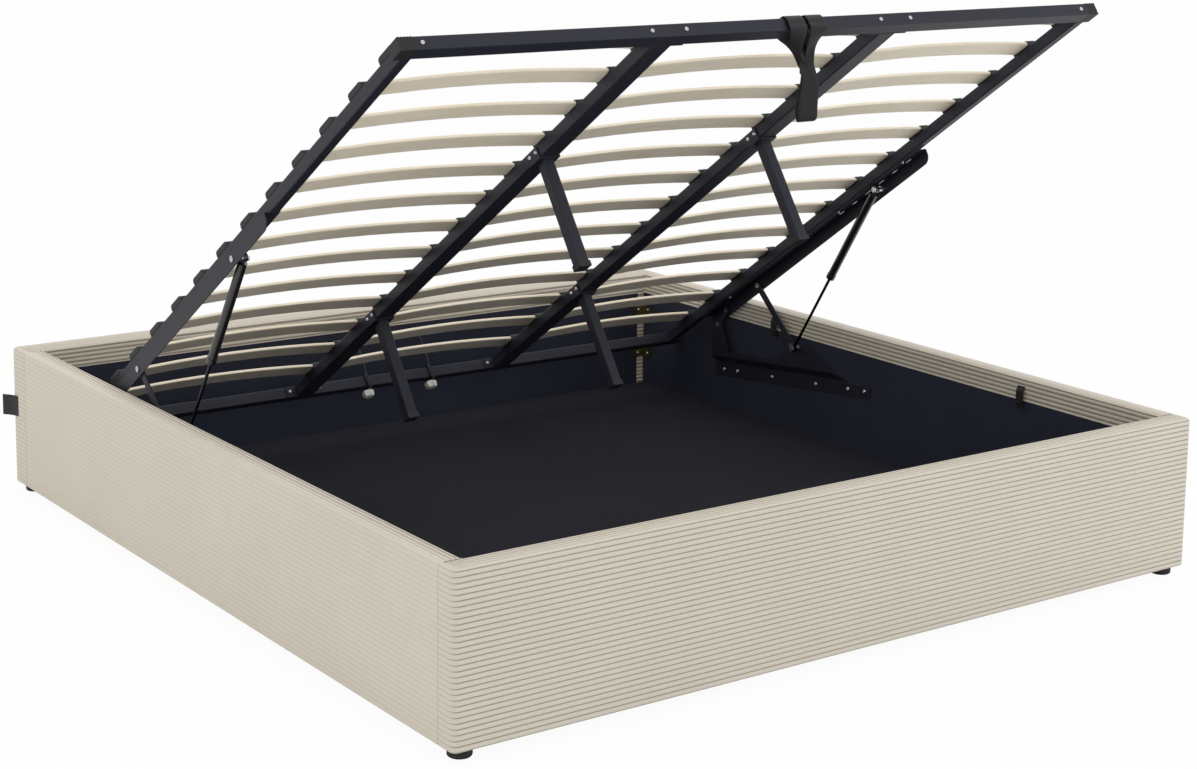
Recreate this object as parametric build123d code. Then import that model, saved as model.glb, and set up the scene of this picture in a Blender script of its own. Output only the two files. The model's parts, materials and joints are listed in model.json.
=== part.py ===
"""Ottoman storage bed: an upholstered box, a floor, and a sprung-slat platform on a gas lift.

X runs across the bed, +Y runs to the head end, +Z is up, and the floor of the room is z = 0.
The platform is drawn raised, as it rests on its gas struts.
"""
from build123d import *
from math import asin, atan2, cos, degrees, hypot, radians, sin, tan
import os

# The mattress sets the inside of the box
mattress_w = 1930.0
mattress_l = 2030.0
mattress_ease = 5.0
inner_w = mattress_w + 2 * mattress_ease
inner_l = mattress_l + 2 * mattress_ease

# Panels of the box, measured over the padding
side_t = 53.0
foot_t = 56.0
head_t = 84.0
panel_h = 360.0
foot_pad_h = 22.0
pad_out = 13.0
pad_top = 10.0
wrap_t = 2.0
wrap_h = 57.0
corner_r = 15.0
top_edge_r = 9.0
inner_edge_r = 5.0
seat_gap = 0.3
overrun = 5.0

outer_w = inner_w + 2 * side_t
outer_l = inner_l + foot_t + head_t
panel_low = foot_pad_h
panel_top = panel_low + panel_h
foot_in = -outer_l / 2 + foot_t
head_in = outer_l / 2 - head_t
side_in = inner_w / 2
lining_top = panel_top - wrap_h

# Storage floor
floor_top = 44.0
cloth_t = 1.5
board_t = 9.0
board_count = 3
batten_w = 35.0
beam_w = 60.0
floor_ease = 1.0
lining_t = 2.0
head_strip_w = 25.0

# Feet, brackets and tabs
foot_pad_r = 25.0
foot_pad_inset = 40.0
foot_pad_edge = 3.0
bracket_leg = 38.0
bracket_tall = 45.0
bracket_t = 2.5
bracket_heights = (262.0, 150.0)
bracket_screw_r = 4.5
bracket_screw_t = 3.0
bracket_screw_in = 23.0
bracket_screw_rise = 12.0
tab_w = 24.0
tab_t = 2.5
tab_bulge = 8.0
tab_low = 303.0
tab_tall = 50.0
tab_place_shares = (0.185, -0.289)

# Platform frame, in its own flat frame: rear edge at y = 0, top of the tubes at z = 0
frame_foot_play = 19.0
frame_head_play = 51.0
frame_side_play = 10.0
frame_l = inner_l - frame_foot_play - frame_head_play
frame_w = inner_w - 2 * frame_side_play
tube_h = 30.0
front_bar_d = 40.0
rear_bar_d = 30.0
side_rail_w = 25.0
side_rail_in = 17.0
side_rail_out = frame_w / 2 - side_rail_in
mid_rail_w = 50.0
tube_wall = 1.5
tube_r = 3.0
connector_w = 34.0
connector_rib_w = 3.0
connector_rib_cut = 1.2
connector_rib_count = 4
end_plate_w = 110.0
end_plate_t = 3.0
frame_bolt_r = 5.5
frame_bolt_t = 3.5
frame_bolt_shift = 44.0
frame_bolt_end = 53.0

# How far the platform is raised, and where it comes to rest in the box
open_angle = 34.5
open_rear_back = 162.0
open_rear_h = 224.0
open_rear = (head_in - open_rear_back, open_rear_h)
recess = 35.0
closed_rear = (head_in - frame_head_play, panel_top - recess)

# Slats and their holders
slat_rows = 13
slat_first = 131.0
slat_last = 83.4
slat_pitch = (frame_l - slat_first - slat_last) / (slat_rows - 1)
slat_w = 53.0
slat_t = 8.0
slat_rim = 8.0
slat_end_gap = 17.0
slat_l = (2 * (side_rail_out - slat_rim) - 2 * slat_end_gap) / 3
slat_bow = 13.0
slat_rise = 2.0
side_slat_in = slat_l / 2 + slat_end_gap
mid_rail_x = (slat_l + slat_end_gap) / 2
holder_u = 59.0
holder_h = 14.5
holder_side_h = 11.0
holder_slope = 5.0
holder_lap = 1.5
middle_holder_w = 48.0
holder_edge_r = 2.0

# Legs under the platform
leg_w = 28.0
leg_reach = 299.0
leg_row_shares = (0.264, 0.716)
leg_foot_h = 14.0
leg_foot_lip = 2.0
saddle_t = 3.0
saddle_u = 46.0
saddle_drop = 26.0
leg_bolt_r = 6.0
leg_bolt_t = 4.0
leg_bolt_u = 14.0

# Lift mechanism, right-hand side, planes counted out from the bed's middle
plate_t = 3.0
arm_t = 4.0
angle_t = 2.5
web_off_wall = 23.0
arm_gap = 0.5
web_in = side_in - web_off_wall
arm_in = web_in + plate_t + arm_gap
angle_out = frame_w / 2
angle_w = 40.0
angle_h = 35.0
angle_from = 210.0
angle_to = 1275.0
angle_end_r = 24.0
slot_l = 30.0
slot_w = 7.0
slot_from = 900.0
slot_pitch = 62.0
slot_count = 6
angle_bolt_rows = (350.0, 910.0, 1207.0)
pivot_h = 300.0
rear_pin_u = 286.0
front_pin_u = 460.0
pin_drop = 47.0
strut_pin_u = 1078.0
strut_foot_back = 758.0
pin_r = 5.0
pin_ease = 0.3
pin_head_r = 7.5
pin_head_t = 2.0
pin_cap_t = 2.5
arm_w = 20.0
link_w = 22.0

# Base plate of the lift
base_bolt_run = (12.0, 258.0)
base_bolt_h = (165.0, 225.0)
base_bolt_shares = (0.0, 0.10, 0.36, 0.67, 0.89, 1.0)
base_bolt_r = 6.5
base_bolt_t = 4.0
base_low = 18.0
base_lip = 12.0
base_bend = 24.0
base_end = 24.0
base_eye_r = 11.0
base_post_half = 18.0
base_dip = 34.0
base_lip_run = 52.0
base_profile_h = 220.0

# Gas struts
strut_off_web = 17.0
strut_x = web_in - strut_off_web
barrel_r = 11.0
barrel_wall = 1.6
barrel_share = 0.516
barrel_start = 16.0
collar_l = 14.0
collar_extra = 1.0
rod_r = 4.0
piston_r = 7.8
piston_l = 12.0
piston_in = 26.0
eye_r = 9.5
eye_w = 10.0
neck_r = 4.8
nut_r = 8.0
nut_t = 5.0

# Rest ledges inside the foot panel
ledge_t = 3.0
ledge_d = 36.0
ledge_h = 30.0
ledge_far = 90.0
ledge_near_left = 60.0
ledge_near_right = 180.0
buffer_t = 3.2
buffer_r = 12.0
buffer_ease = 0.5

# Pull strap
strap_w = 48.0
strap_t = 2.4
strap_x = (31.0, 87.0)
strap_aside = 20.0
strap_drop = 180.0
strap_waist_w = 42.0
strap_waist_drop = 75.0
strap_end_w = 56.0
strap_loop_r = 14.0
strap_sewn = 62.0

# Mattress retainer hoop at the low end of the platform
retainer_mid = 20.0
retainer_w = 201.0
retainer_rod_r = 2.5
retainer_up = 95.0
retainer_bend_r = 22.0
retainer_stand = 6.0
clamp_r = 11.0
knob_r = 16.0
knob_h = 19.0


def block(x, y, z):
    """A box between two places on each axis."""
    size = [abs(b - a) for a, b in (x, y, z)]
    middle = [(a + b) / 2 for a, b in (x, y, z)]
    return Pos(*middle) * Box(*size)


def tube(x, y, z, along):
    """A square-section steel tube with rounded edges, open at its ends."""
    size = {"x": x, "y": y, "z": z}
    runs = {"x": Plane.YZ, "y": Plane.XZ, "z": Plane.XY}
    across = {"x": ("y", "z"), "y": ("x", "z"), "z": ("x", "y")}[along]
    wide, high = (abs(size[k][1] - size[k][0]) for k in across)
    length = abs(size[along][1] - size[along][0])
    ring = RectangleRounded(wide, high, tube_r)
    ring -= Rectangle(wide - 2 * tube_wall, high - 2 * tube_wall)
    body = extrude(runs[along] * ring, length / 2, both=True)
    return Pos(*[(size[k][0] + size[k][1]) / 2 for k in "xyz"]) * body


def rod_between(a, b, radius):
    """A round bar from one point to another."""
    start, end = Vector(*a), Vector(*b)
    place = Plane(origin=start, z_dir=(end - start).normalized())
    return extrude(place * Circle(radius), (end - start).length)


def bolt_head(a, b, radius):
    """A hexagonal head from one point to another, which takes far fewer faces than a round one."""
    start, end = Vector(*a), Vector(*b)
    place = Plane(origin=start, z_dir=(end - start).normalized())
    return extrude(place * RegularPolygon(radius, 6), (end - start).length)


def stub(x0, x1, y, z, radius):
    """A round pin along X."""
    return rod_between((x0, y, z), (x1, y, z), radius)


def hexagon(x0, x1, y, z, radius):
    """A bolt head or nut along X."""
    return Pos(x0, y, z) * extrude(Plane.YZ * RegularPolygon(radius, 6), x1 - x0)


def both_sides(shape):
    """The right-hand piece and its mirror on the left."""
    return shape, mirror(shape, Plane.YZ)


def save(name, *shapes):
    """Writes one node, a single solid or a group of separate ones."""
    solids = [s for shape in shapes for s in shape.solids()]
    group = solids[0] if len(solids) == 1 else Compound(children=solids)
    group.label = name
    export_step(group, "parts/" + name + ".step")


# The platform's poses
class PlatformPose:
    """Where a point of the platform lies: u from the rear edge, n up from the tubes' top."""

    def __init__(self, rear, angle):
        self.rear = rear
        self.angle = radians(angle)

    def at(self, u, n):
        s, c = sin(self.angle), cos(self.angle)
        return self.rear[0] - u * c + n * s, self.rear[1] + u * s + n * c


raised = PlatformPose(open_rear, open_angle)
lowered = PlatformPose(closed_rear, 0)
raise_platform = Location((0, open_rear[0], open_rear[1]), (-open_angle, 0, 0))


def base_pivot(u, n, height):
    """The fixed pivot that a pin at u, n swings about between the two poses."""
    a, b = raised.at(u, n), lowered.at(u, n)
    middle = [(p + q) / 2 for p, q in zip(a, b)]
    run = [q - p for p, q in zip(a, b)]
    return middle[0] - (height - middle[1]) * run[1] / run[0], height


rear_pin = raised.at(rear_pin_u, -pin_drop)
front_pin = raised.at(front_pin_u, -pin_drop)
strut_pin = raised.at(strut_pin_u, -pin_drop)
rear_pivot = base_pivot(rear_pin_u, -pin_drop, pivot_h)
front_pivot = base_pivot(front_pin_u, -pin_drop, pivot_h)
strut_foot = (head_in - strut_foot_back, pivot_h)
leg_rows = [frame_l * share for share in leg_row_shares]
base_bolt_rear = (rear_pivot[0] - base_bolt_run[0], base_bolt_h[0])
base_bolt_front = (strut_foot[0] - base_bolt_run[1], base_bolt_h[1])


# Panels of the box
def panel(x, y, inner_side):
    """One padded cover and the timber board inside it."""
    z = (panel_low, panel_top)
    cover = block(x, y, z)
    uprights = cover.edges().filter_by(Axis.Z)
    if inner_side in ("+y", "-y"):
        outer = uprights.sort_by(Axis.Y)[-2:] if inner_side == "-y" else uprights.sort_by(Axis.Y)[:2]
        cover = fillet(outer, corner_r)
        ends = pad_out
    else:
        ends = 0.0
    axis = Axis.Y if inner_side in ("+y", "-y") else Axis.X
    sign = 1 if inner_side[0] == "+" else -1
    rim = cover.faces().sort_by(Axis.Z)[-1].edges()
    inner_line = (y if axis == Axis.Y else x)[1 if sign > 0 else 0]
    along = [e for e in rim if abs((e.center().Y if axis == Axis.Y else e.center().X) - inner_line) < seat_gap]
    outside = [e for e in rim if e not in along]
    if axis == Axis.X:
        outside = [e for e in outside if abs(e.center().Y - (y[0] + y[1]) / 2) < seat_gap]
    cover = fillet(outside, top_edge_r)
    inner_edges = [e for e in cover.edges() if abs((e.center().Y if axis == Axis.Y else e.center().X) - inner_line)
                   < seat_gap and abs(e.center().Z - panel_top) < seat_gap]
    cover = fillet(inner_edges, inner_edge_r)

    def cavity(ease):
        cx, cy = list(x), list(y)
        span = cy if axis == Axis.Y else cx
        other = cx if axis == Axis.Y else cy
        outer_at, inner_at = (0, 1) if sign > 0 else (1, 0)
        span[outer_at] += sign * (pad_out + ease)
        span[inner_at] -= sign * (wrap_t + ease)
        other[0] += ends + ease * bool(ends)
        other[1] -= ends + ease * bool(ends)
        return cx, cy

    cx, cy = cavity(0)
    cover -= block(cx, cy, (panel_low - overrun, panel_top - pad_top))
    fx, fy = list(cx), list(cy)
    reach = fy if axis == Axis.Y else fx
    reach[1 if sign > 0 else 0] += sign * (wrap_t + overrun)
    cover -= block(fx, fy, (panel_low - overrun, lining_top))
    bx, by = cavity(seat_gap)
    board = block(bx, by, (panel_low, panel_top - pad_top - seat_gap))
    return cover, board


def make_box():
    side_y = (foot_in + seat_gap, head_in - seat_gap)
    foot_cover, foot_board = panel((-outer_w / 2, outer_w / 2), (-outer_l / 2, foot_in), "+y")
    head_cover, head_board = panel((-outer_w / 2, outer_w / 2), (head_in, outer_l / 2), "-y")
    side_cover, side_board = panel((side_in, outer_w / 2), side_y, "-x")
    save("foot_panel_cover", foot_cover)
    save("head_panel_cover", head_cover)
    for name, cover in zip(("right", "left"), both_sides(side_cover)):
        save(name + "_side_cover", cover)
    save("end_panel_boards", foot_board, head_board)
    save("side_panel_boards", *both_sides(side_board))

    lining_z = (floor_top - cloth_t - board_t, lining_top - seat_gap)
    half = side_in - seat_gap
    side_lining = block((side_in, side_in + lining_t), (foot_in + seat_gap, head_in - seat_gap), lining_z)
    save("side_linings", *both_sides(side_lining))
    foot_lining = block((-half, half), (foot_in - lining_t, foot_in), lining_z)
    strip_half = half - head_strip_w
    head_lining = block((-strip_half, strip_half), (head_in, head_in + lining_t), lining_z)
    save("end_linings", foot_lining, head_lining)


# Storage floor
def make_floor():
    x = (-side_in + floor_ease, side_in - floor_ease)
    y = (foot_in + floor_ease, head_in - floor_ease)
    boards_z = (floor_top - cloth_t - board_t, floor_top - cloth_t)
    run = (y[1] - y[0]) / board_count
    boards = [block(x, (y[0] + k * run + seat_gap / 2, y[0] + (k + 1) * run - seat_gap / 2), boards_z)
              for k in range(board_count)]
    save("storage_floor_boards", *boards)
    save("storage_floor_cloth", block(x, y, (boards_z[1], floor_top)))

    beam_z = (panel_low, boards_z[0])
    side_batten = block((x[1] - batten_w, x[1]), y, beam_z)
    inside = (-x[1] + batten_w + seat_gap, x[1] - batten_w - seat_gap)
    ends = [block(inside, (y[0], y[0] + batten_w), beam_z), block(inside, (y[1] - batten_w, y[1]), beam_z)]
    save("floor_battens", *both_sides(side_batten), *ends)
    joints = [y[0] + k * run for k in range(1, board_count)]
    save("floor_cross_beams", *[block(inside, (j - beam_w / 2, j + beam_w / 2), beam_z) for j in joints])
    return joints


# Feet, corner brackets and webbing tabs
def foot_pad(x, y):
    pad = Cylinder(foot_pad_r, foot_pad_h)
    pad = chamfer(pad.edges().group_by(Axis.Z)[0], foot_pad_edge)
    return Pos(x, y, foot_pad_h / 2) * pad


def make_feet(beam_places):
    fx, fy = outer_w / 2 - foot_pad_inset, outer_l / 2 - foot_pad_inset
    save("corner_feet", *[foot_pad(sx * fx, sy * fy) for sx in (-1, 1) for sy in (-1, 1)])
    save("centre_feet", *[foot_pad(sx * mid_rail_x, y) for sx in (-1, 1) for y in beam_places])


def corner_bracket(height):
    """An angle bracket in the right-hand head corner, with its four screws."""
    x, y = side_in, head_in
    z = (height - bracket_tall / 2, height + bracket_tall / 2)
    plate = block((x - bracket_leg, x), (y - bracket_t, y), z)
    plate += block((x - bracket_t, x), (y - bracket_leg, y), z)
    screws = []
    for rise in (-bracket_screw_rise, bracket_screw_rise):
        screws.append(hexagon(x - bracket_t - bracket_screw_t, x - bracket_t, y - bracket_screw_in, height + rise,
                              bracket_screw_r))
        start = (x - bracket_screw_in, y - bracket_t - bracket_screw_t, height + rise)
        screws.append(bolt_head(start, (start[0], y - bracket_t, start[2]), bracket_screw_r))
    return plate, screws


def make_brackets():
    plates, screws = [], []
    to_foot = Pos(0, head_in + foot_in, 0)
    for height in bracket_heights:
        plate, heads = corner_bracket(height)
        for shape, group in [(plate, plates)] + [(head, screws) for head in heads]:
            at_foot = to_foot * mirror(shape, Plane.XZ)
            for piece in (shape, at_foot):
                group.extend(both_sides(piece))
    save("corner_brackets", *plates)
    save("corner_bracket_screws", *screws)


def make_tabs():
    """Folded webbing loops on the side walls."""
    tabs = []
    for y in [inner_l * share for share in tab_place_shares]:
        with_bulge = (side_in - tab_bulge, side_in)
        loop = block(with_bulge, (y - tab_w / 2, y + tab_w / 2), (tab_low, tab_low + tab_tall))
        rounded = loop.edges().filter_by(Axis.Y).sort_by(Axis.X)[:2]
        loop = fillet(rounded, tab_bulge / 2)
        hole = block((side_in - tab_bulge + tab_t, side_in - tab_t), (y - tab_w, y + tab_w),
                     (tab_low + tab_t, tab_low + tab_tall - tab_t))
        tabs.extend(both_sides(loop - hole))
    save("webbing_tabs", *tabs)


def make_ledges():
    """Two steel angles inside the foot panel that the closed platform rests on, with buffers."""
    top = closed_rear[1] - tube_h - buffer_ease - buffer_t
    ledges, buffers = [], []
    far = side_in - ledge_far
    for x in ((-far, -ledge_near_left), (ledge_near_right, far)):
        shelf = block(x, (foot_in, foot_in + ledge_d), (top - ledge_t, top))
        ledges.append(shelf + block(x, (foot_in, foot_in + ledge_t), (top - ledge_h, top)))
        for k in (1, 3):
            bx = x[0] + (x[1] - x[0]) * k / 4
            y = foot_in + ledge_d - buffer_r - ledge_t
            buffers.append(Pos(bx, y, top + buffer_t / 2) * Cylinder(buffer_r, buffer_t))
    save("rest_ledges", *ledges)
    save("rest_buffers", *buffers)


# Platform frame
def connector(front):
    """A ribbed plastic corner that joins a bar's end to a side rail."""
    depth = front_bar_d if front else rear_bar_d
    y = (-frame_l, -frame_l + depth) if front else (-depth, 0)
    x0 = frame_w / 2 - connector_w
    body = block((x0 + seat_gap, frame_w / 2), y, (-tube_h, 0))
    outer = body.edges().filter_by(Axis.Z).sort_by(Axis.X)[-2:]
    body = fillet(outer, tube_r)
    step = connector_w / (connector_rib_count + 1)
    outside = y[0] if front else y[1]
    for k in range(1, connector_rib_count + 1):
        x = x0 + k * step
        cut = (outside - connector_rib_cut, outside + connector_rib_cut)
        body -= block((x - connector_rib_w / 2, x + connector_rib_w / 2), cut, (-tube_h - overrun, overrun))
    spigot = (tube_h - 2 * tube_wall) / 2 - seat_gap
    sy = (y[0] + y[1]) / 2
    half = depth / 2 - tube_wall - seat_gap
    body += block((x0 - connector_w, x0 + seat_gap), (sy - half, sy + half),
                  (-tube_h / 2 - spigot, -tube_h / 2 + spigot))
    return body


def make_frame():
    bar_end = frame_w / 2 - connector_w
    z = (-tube_h, 0)
    front = (-frame_l, -frame_l + front_bar_d)
    rear = (-rear_bar_d, 0)
    between = (-frame_l + front_bar_d + seat_gap, -rear_bar_d - seat_gap)
    place = raise_platform
    save("front_bar", place * tube((-bar_end, bar_end), front, z, "x"))
    save("rear_bar", place * tube((-bar_end, bar_end), rear, z, "x"))
    side = tube((side_rail_out - side_rail_w, side_rail_out), between, z, "y")
    plate_gap = end_plate_t + seat_gap
    inner = (between[0] + plate_gap, between[1] - plate_gap)
    middle = tube((mid_rail_x - mid_rail_w / 2, mid_rail_x + mid_rail_w / 2), inner, z, "y")
    save("side_rails", *[place * rail for rail in both_sides(side)])
    save("mid_rails", *[place * rail for rail in both_sides(middle)])
    corners = [c for front_end in (True, False) for c in both_sides(connector(front_end))]
    save("corner_connectors", *[place * c for c in corners])

    plates, bolts = [], []
    x = (mid_rail_x - end_plate_w / 2, mid_rail_x + end_plate_w / 2)
    for y in ((between[0], between[0] + end_plate_t), (between[1] - end_plate_t, between[1])):
        plates.extend(both_sides(block(x, y, z)))
    for y, outward in ((-frame_l, -1), (-rear_bar_d - plate_gap, -1)):
        for bx in (mid_rail_x - frame_bolt_shift, mid_rail_x + frame_bolt_shift, frame_w / 2 - frame_bolt_end):
            if y == -frame_l or bx < frame_w / 2 - frame_bolt_end:
                head = bolt_head((bx, y, -tube_h / 2), (bx, y + outward * frame_bolt_t, -tube_h / 2), frame_bolt_r)
                bolts.extend(both_sides(head))
    save("mid_rail_end_plates", *[place * p for p in plates])
    save("frame_bolts", *[place * b for b in bolts])


# Slats
def slat(middle_x, row):
    """One bowed slat, lying on the rails, highest at its middle."""
    half = slat_l / 2
    low, high = slat_rise, slat_rise + slat_bow
    with BuildSketch(Plane.XZ) as section:
        with BuildLine():
            ThreePointArc((-half, low), (0, high), (half, low))
            Line((half, low), (half, low + slat_t))
            ThreePointArc((half, low + slat_t), (0, high + slat_t), (-half, low + slat_t))
            Line((-half, low + slat_t), (-half, low))
        make_face()
    body = extrude(section.sketch, slat_w / 2, both=True)
    return Pos(middle_x, -(slat_first + row * slat_pitch), 0) * body


def slat_lift(inset):
    """How much higher the slat's underside is at a distance in from its end."""
    half = slat_l / 2
    radius = (half ** 2 + slat_bow ** 2) / (2 * slat_bow)
    end = asin(half / radius)
    return radius * (cos(asin((half - inset) / radius)) - cos(end))


def holder(x, pockets, row):
    """A plastic slat holder on top of a rail; each pocket is the x-range that a slat end fills."""
    y = -(slat_first + row * slat_pitch)
    half, top_half = holder_u / 2, holder_u / 2 - holder_slope
    outline = Polygon((-half, 0), (half, 0), (half, holder_side_h), (top_half, holder_h), (-top_half, holder_h),
                      (-half, holder_side_h), align=None)
    body = Pos(x[0], y, 0) * extrude(Plane.YZ * outline, x[1] - x[0])
    for low, high in pockets:
        lap = high - low
        roof = slat_rise + slat_t + slat_lift(lap) + seat_gap
        body -= block((low, high), (y - slat_w / 2 - seat_gap, y + slat_w / 2 + seat_gap),
                      (slat_rise - seat_gap, roof))
    return body


def make_slats():
    place = raise_platform
    side_x = side_slat_in + slat_l / 2
    rows = range(slat_rows)
    save("centre_slats", *[place * slat(0, k) for k in rows])
    save("side_slats", *[place * s for k in rows for s in both_sides(slat(side_x, k))])

    rail_in = side_rail_out - side_rail_w
    slat_end = side_slat_in + slat_l + seat_gap
    outer = [holder((rail_in, side_rail_out), [(rail_in - overrun, slat_end)], k) for k in rows]
    middle_x = (mid_rail_x - middle_holder_w / 2, mid_rail_x + middle_holder_w / 2)
    middle = [holder(middle_x, [(middle_x[0] - overrun, slat_l / 2 + seat_gap),
                                (side_slat_in - seat_gap, middle_x[1] + overrun)], k) for k in rows]
    for name, shapes in (("outer_slat_holders", outer), ("middle_slat_holders", middle)):
        save(name, *[place * s for shape in shapes for s in both_sides(shape)])


# Legs
def make_legs():
    place = raise_platform
    tubes, saddles, feet, bolts = [], [], [], []
    low = -leg_reach
    for u in leg_rows:
        y = (-u - leg_w / 2, -u + leg_w / 2)
        x = (mid_rail_x - leg_w / 2, mid_rail_x + leg_w / 2)
        top = -tube_h - saddle_t
        tubes.extend(both_sides(tube(x, y, (low + leg_foot_h, top), "z")))
        foot = block((x[0] - leg_foot_lip, x[1] + leg_foot_lip), (y[0] - leg_foot_lip, y[1] + leg_foot_lip),
                     (low, low + leg_foot_h))
        foot = fillet(foot.edges().filter_by(Axis.Z), leg_foot_lip)
        feet.extend(both_sides(foot))
        half = mid_rail_w / 2
        reach = half + saddle_t
        bed = block((mid_rail_x - reach, mid_rail_x + reach), (-u - saddle_u / 2, -u + saddle_u / 2),
                    (top, -tube_h))
        for side in (-1, 1):
            inner, outer = mid_rail_x + side * half, mid_rail_x + side * reach
            bed += block((inner, outer), (-u - saddle_u / 2, -u + saddle_u / 2), (top, -tube_h + saddle_drop))
            for step in (-leg_bolt_u, leg_bolt_u):
                out = outer + side * leg_bolt_t
                bolts.extend(both_sides(hexagon(min(outer, out), max(outer, out), -u + step, -tube_h / 2,
                                                leg_bolt_r)))
        saddles.extend(both_sides(bed))
    for name, group in (("leg_tubes", tubes), ("leg_saddles", saddles), ("leg_feet", feet), ("leg_bolts", bolts)):
        save(name, *[place * s for s in group])


# Lift mechanism
def outline_between(a, b, width):
    """A flat bar with round ends, in the Y-Z plane."""
    middle = [(p + q) / 2 for p, q in zip(a, b)]
    run = hypot(b[0] - a[0], b[1] - a[1])
    turn = degrees(atan2(b[1] - a[1], b[0] - a[0]))
    return Pos(*middle) * Rot(0, 0, turn) * SlotCenterToCenter(run, width)


def sheet_yz(outline, x, thickness):
    """A flat plate from an outline in Y and Z, its inner face at x."""
    return Pos(x, 0, 0) * extrude(Plane.YZ * outline, thickness)


def bolt_line(y):
    """The height of the base plate's row of bolts at y."""
    (y0, z0), (y1, z1) = base_bolt_rear, base_bolt_front
    return z0 + (z1 - z0) * (y - y0) / (y1 - y0)


def base_plate():
    """A pressed plate: its foot is bolted to the wall, its web stands off to clear the platform."""
    (y0, z0), (y1, z1) = base_bolt_rear, base_bolt_front
    step = side_in - web_in - plate_t
    slope = degrees(atan2(z0 - z1, y0 - y1))
    bend = base_bend
    with BuildSketch(Plane.XZ) as section:
        Polygon((side_in, -base_low - overrun), (side_in, bend), (side_in - step, bend + step),
                (side_in - step, base_profile_h), (web_in, base_profile_h), (web_in, bend + step - plate_t / 2),
                (side_in - plate_t, bend - plate_t / 2), (side_in - plate_t, -base_low - overrun), align=None)
    length = hypot(y1 - y0, z1 - z0) / 2 + base_profile_h
    pressed = extrude(section.sketch, length, both=True)
    middle = ((y0 + y1) / 2, (z0 + z1) / 2)
    pressed = Pos(0, *middle) * Rot(slope, 0, 0) * pressed

    front, rear = y1 - base_end, rear_pivot[0] + base_post_half + base_end / 2
    lip_to = front + base_lip_run + base_end
    dip_front = front_pivot[0] + base_dip * 2
    dip_rear = rear_pivot[0] - base_post_half - base_dip
    points = [(front, bolt_line(front) - base_low), (front, bolt_line(front) + base_lip),
              (lip_to, bolt_line(lip_to) + base_lip), (strut_foot[0] - base_eye_r * 0.7, pivot_h + base_eye_r * 0.7),
              (strut_foot[0], pivot_h + base_eye_r), (front_pivot[0], pivot_h + base_eye_r),
              (front_pivot[0] + base_eye_r, pivot_h), (dip_front, bolt_line(dip_front) + base_bend + base_dip),
              (dip_rear, bolt_line(dip_rear) + base_bend + base_dip), (rear_pivot[0] - base_post_half, pivot_h),
              (rear_pivot[0] + base_post_half, pivot_h), (rear, bolt_line(rear) - base_low)]
    outline = Polygon(*reversed(points), align=None)
    outline += Pos(*front_pivot) * Circle(base_eye_r)
    outline += Pos(*strut_foot) * Circle(base_eye_r)
    outline += Pos(rear_pivot[0], pivot_h) * Ellipse(base_post_half, base_eye_r)
    plate = pressed & sheet_yz(outline, web_in - overrun, side_in - web_in + 2 * overrun)
    for y, z in (rear_pivot, front_pivot):
        plate -= stub(web_in - overrun, web_in + plate_t + overrun, y, z, pin_r)
    return plate


def make_base():
    save("base_plates", *both_sides(base_plate()))
    bolts = []
    (y0, z0), (y1, z1) = base_bolt_rear, base_bolt_front
    x = side_in - plate_t
    for share in base_bolt_shares:
        y, z = y0 + (y1 - y0) * share, z0 + (z1 - z0) * share
        bolts.extend(both_sides(hexagon(x - base_bolt_t, x, y, z, base_bolt_r)))
    save("base_plate_bolts", *bolts)

    pins = []
    for pivot in (rear_pivot, front_pivot):
        pin = stub(web_in - pin_head_t, web_in, *pivot, pin_head_r)
        pin += stub(web_in - pin_head_t, web_in + plate_t, *pivot, pin_r)
        pins.extend(both_sides(pin))
    pins.extend(both_sides(stub(web_in - pin_head_t, web_in, *strut_foot, pin_head_r)))
    save("base_pivot_pins", *pins)


def make_links():
    """Each arm with the pins at its two ends."""
    arm_out = arm_in + arm_t
    angle_face = angle_out - angle_t
    for name, foot, head, width, riveted_flush in (("rear_link_", rear_pivot, rear_pin, link_w, True),
                                                   ("front_arm_", front_pivot, front_pin, arm_w, False)):
        bar = sheet_yz(outline_between(foot, head, width), arm_in, arm_t)
        for end in (foot, head):
            bar -= stub(arm_in - overrun, arm_out + overrun, *end, pin_r)
        foot_pin = stub(web_in + plate_t + seat_gap, arm_out + pin_head_t, *foot, pin_r)
        foot_pin += stub(arm_out, arm_out + pin_head_t, *foot, pin_head_r)
        pin = stub(arm_out, angle_face - pin_ease, *head, pin_head_r)
        if not riveted_flush:
            pin += stub(arm_in - pin_head_t, arm_in, *head, pin_head_r)
        pin += stub(arm_in, angle_out + pin_ease + pin_cap_t, *head, pin_r)
        pin += stub(angle_out + pin_ease, angle_out + pin_ease + pin_cap_t, *head, pin_head_r)
        for side, arm in zip(("right", "left"), both_sides(bar)):
            save(name + side, arm)
        save(name + "pin_right", pin, foot_pin)
        save(name + "pin_left", mirror(pin, Plane.YZ), mirror(foot_pin, Plane.YZ))


def lift_angle():
    """The steel angle under the side rail, in the platform's flat frame."""
    low = -tube_h - angle_h
    y = (-angle_to, -angle_from)
    upright = block((angle_out - angle_t, angle_out), y, (low, -tube_h))
    corners = upright.edges().filter_by(Axis.X).group_by(Axis.Z)[0]
    upright = fillet(corners, angle_end_r)
    shelf = block((angle_out - angle_w, angle_out), y, (-tube_h - angle_t, -tube_h))
    angle = upright + shelf
    slot_x = (side_rail_out + angle_out - angle_t) / 2
    for k in range(slot_count):
        slot = SlotOverall(slot_l, slot_w, rotation=90)
        cut = extrude(Plane.XY * slot, angle_h / 2, both=True)
        angle -= Pos(slot_x, -(slot_from + k * slot_pitch), -tube_h) * cut
    for u in (rear_pin_u, front_pin_u):
        angle -= stub(angle_out - angle_t - overrun, angle_out + overrun, -u, -pin_drop, pin_r + pin_ease)
    angle -= stub(angle_out - angle_t - overrun, angle_out + overrun, -strut_pin_u, -pin_drop, pin_r)
    return angle


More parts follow.
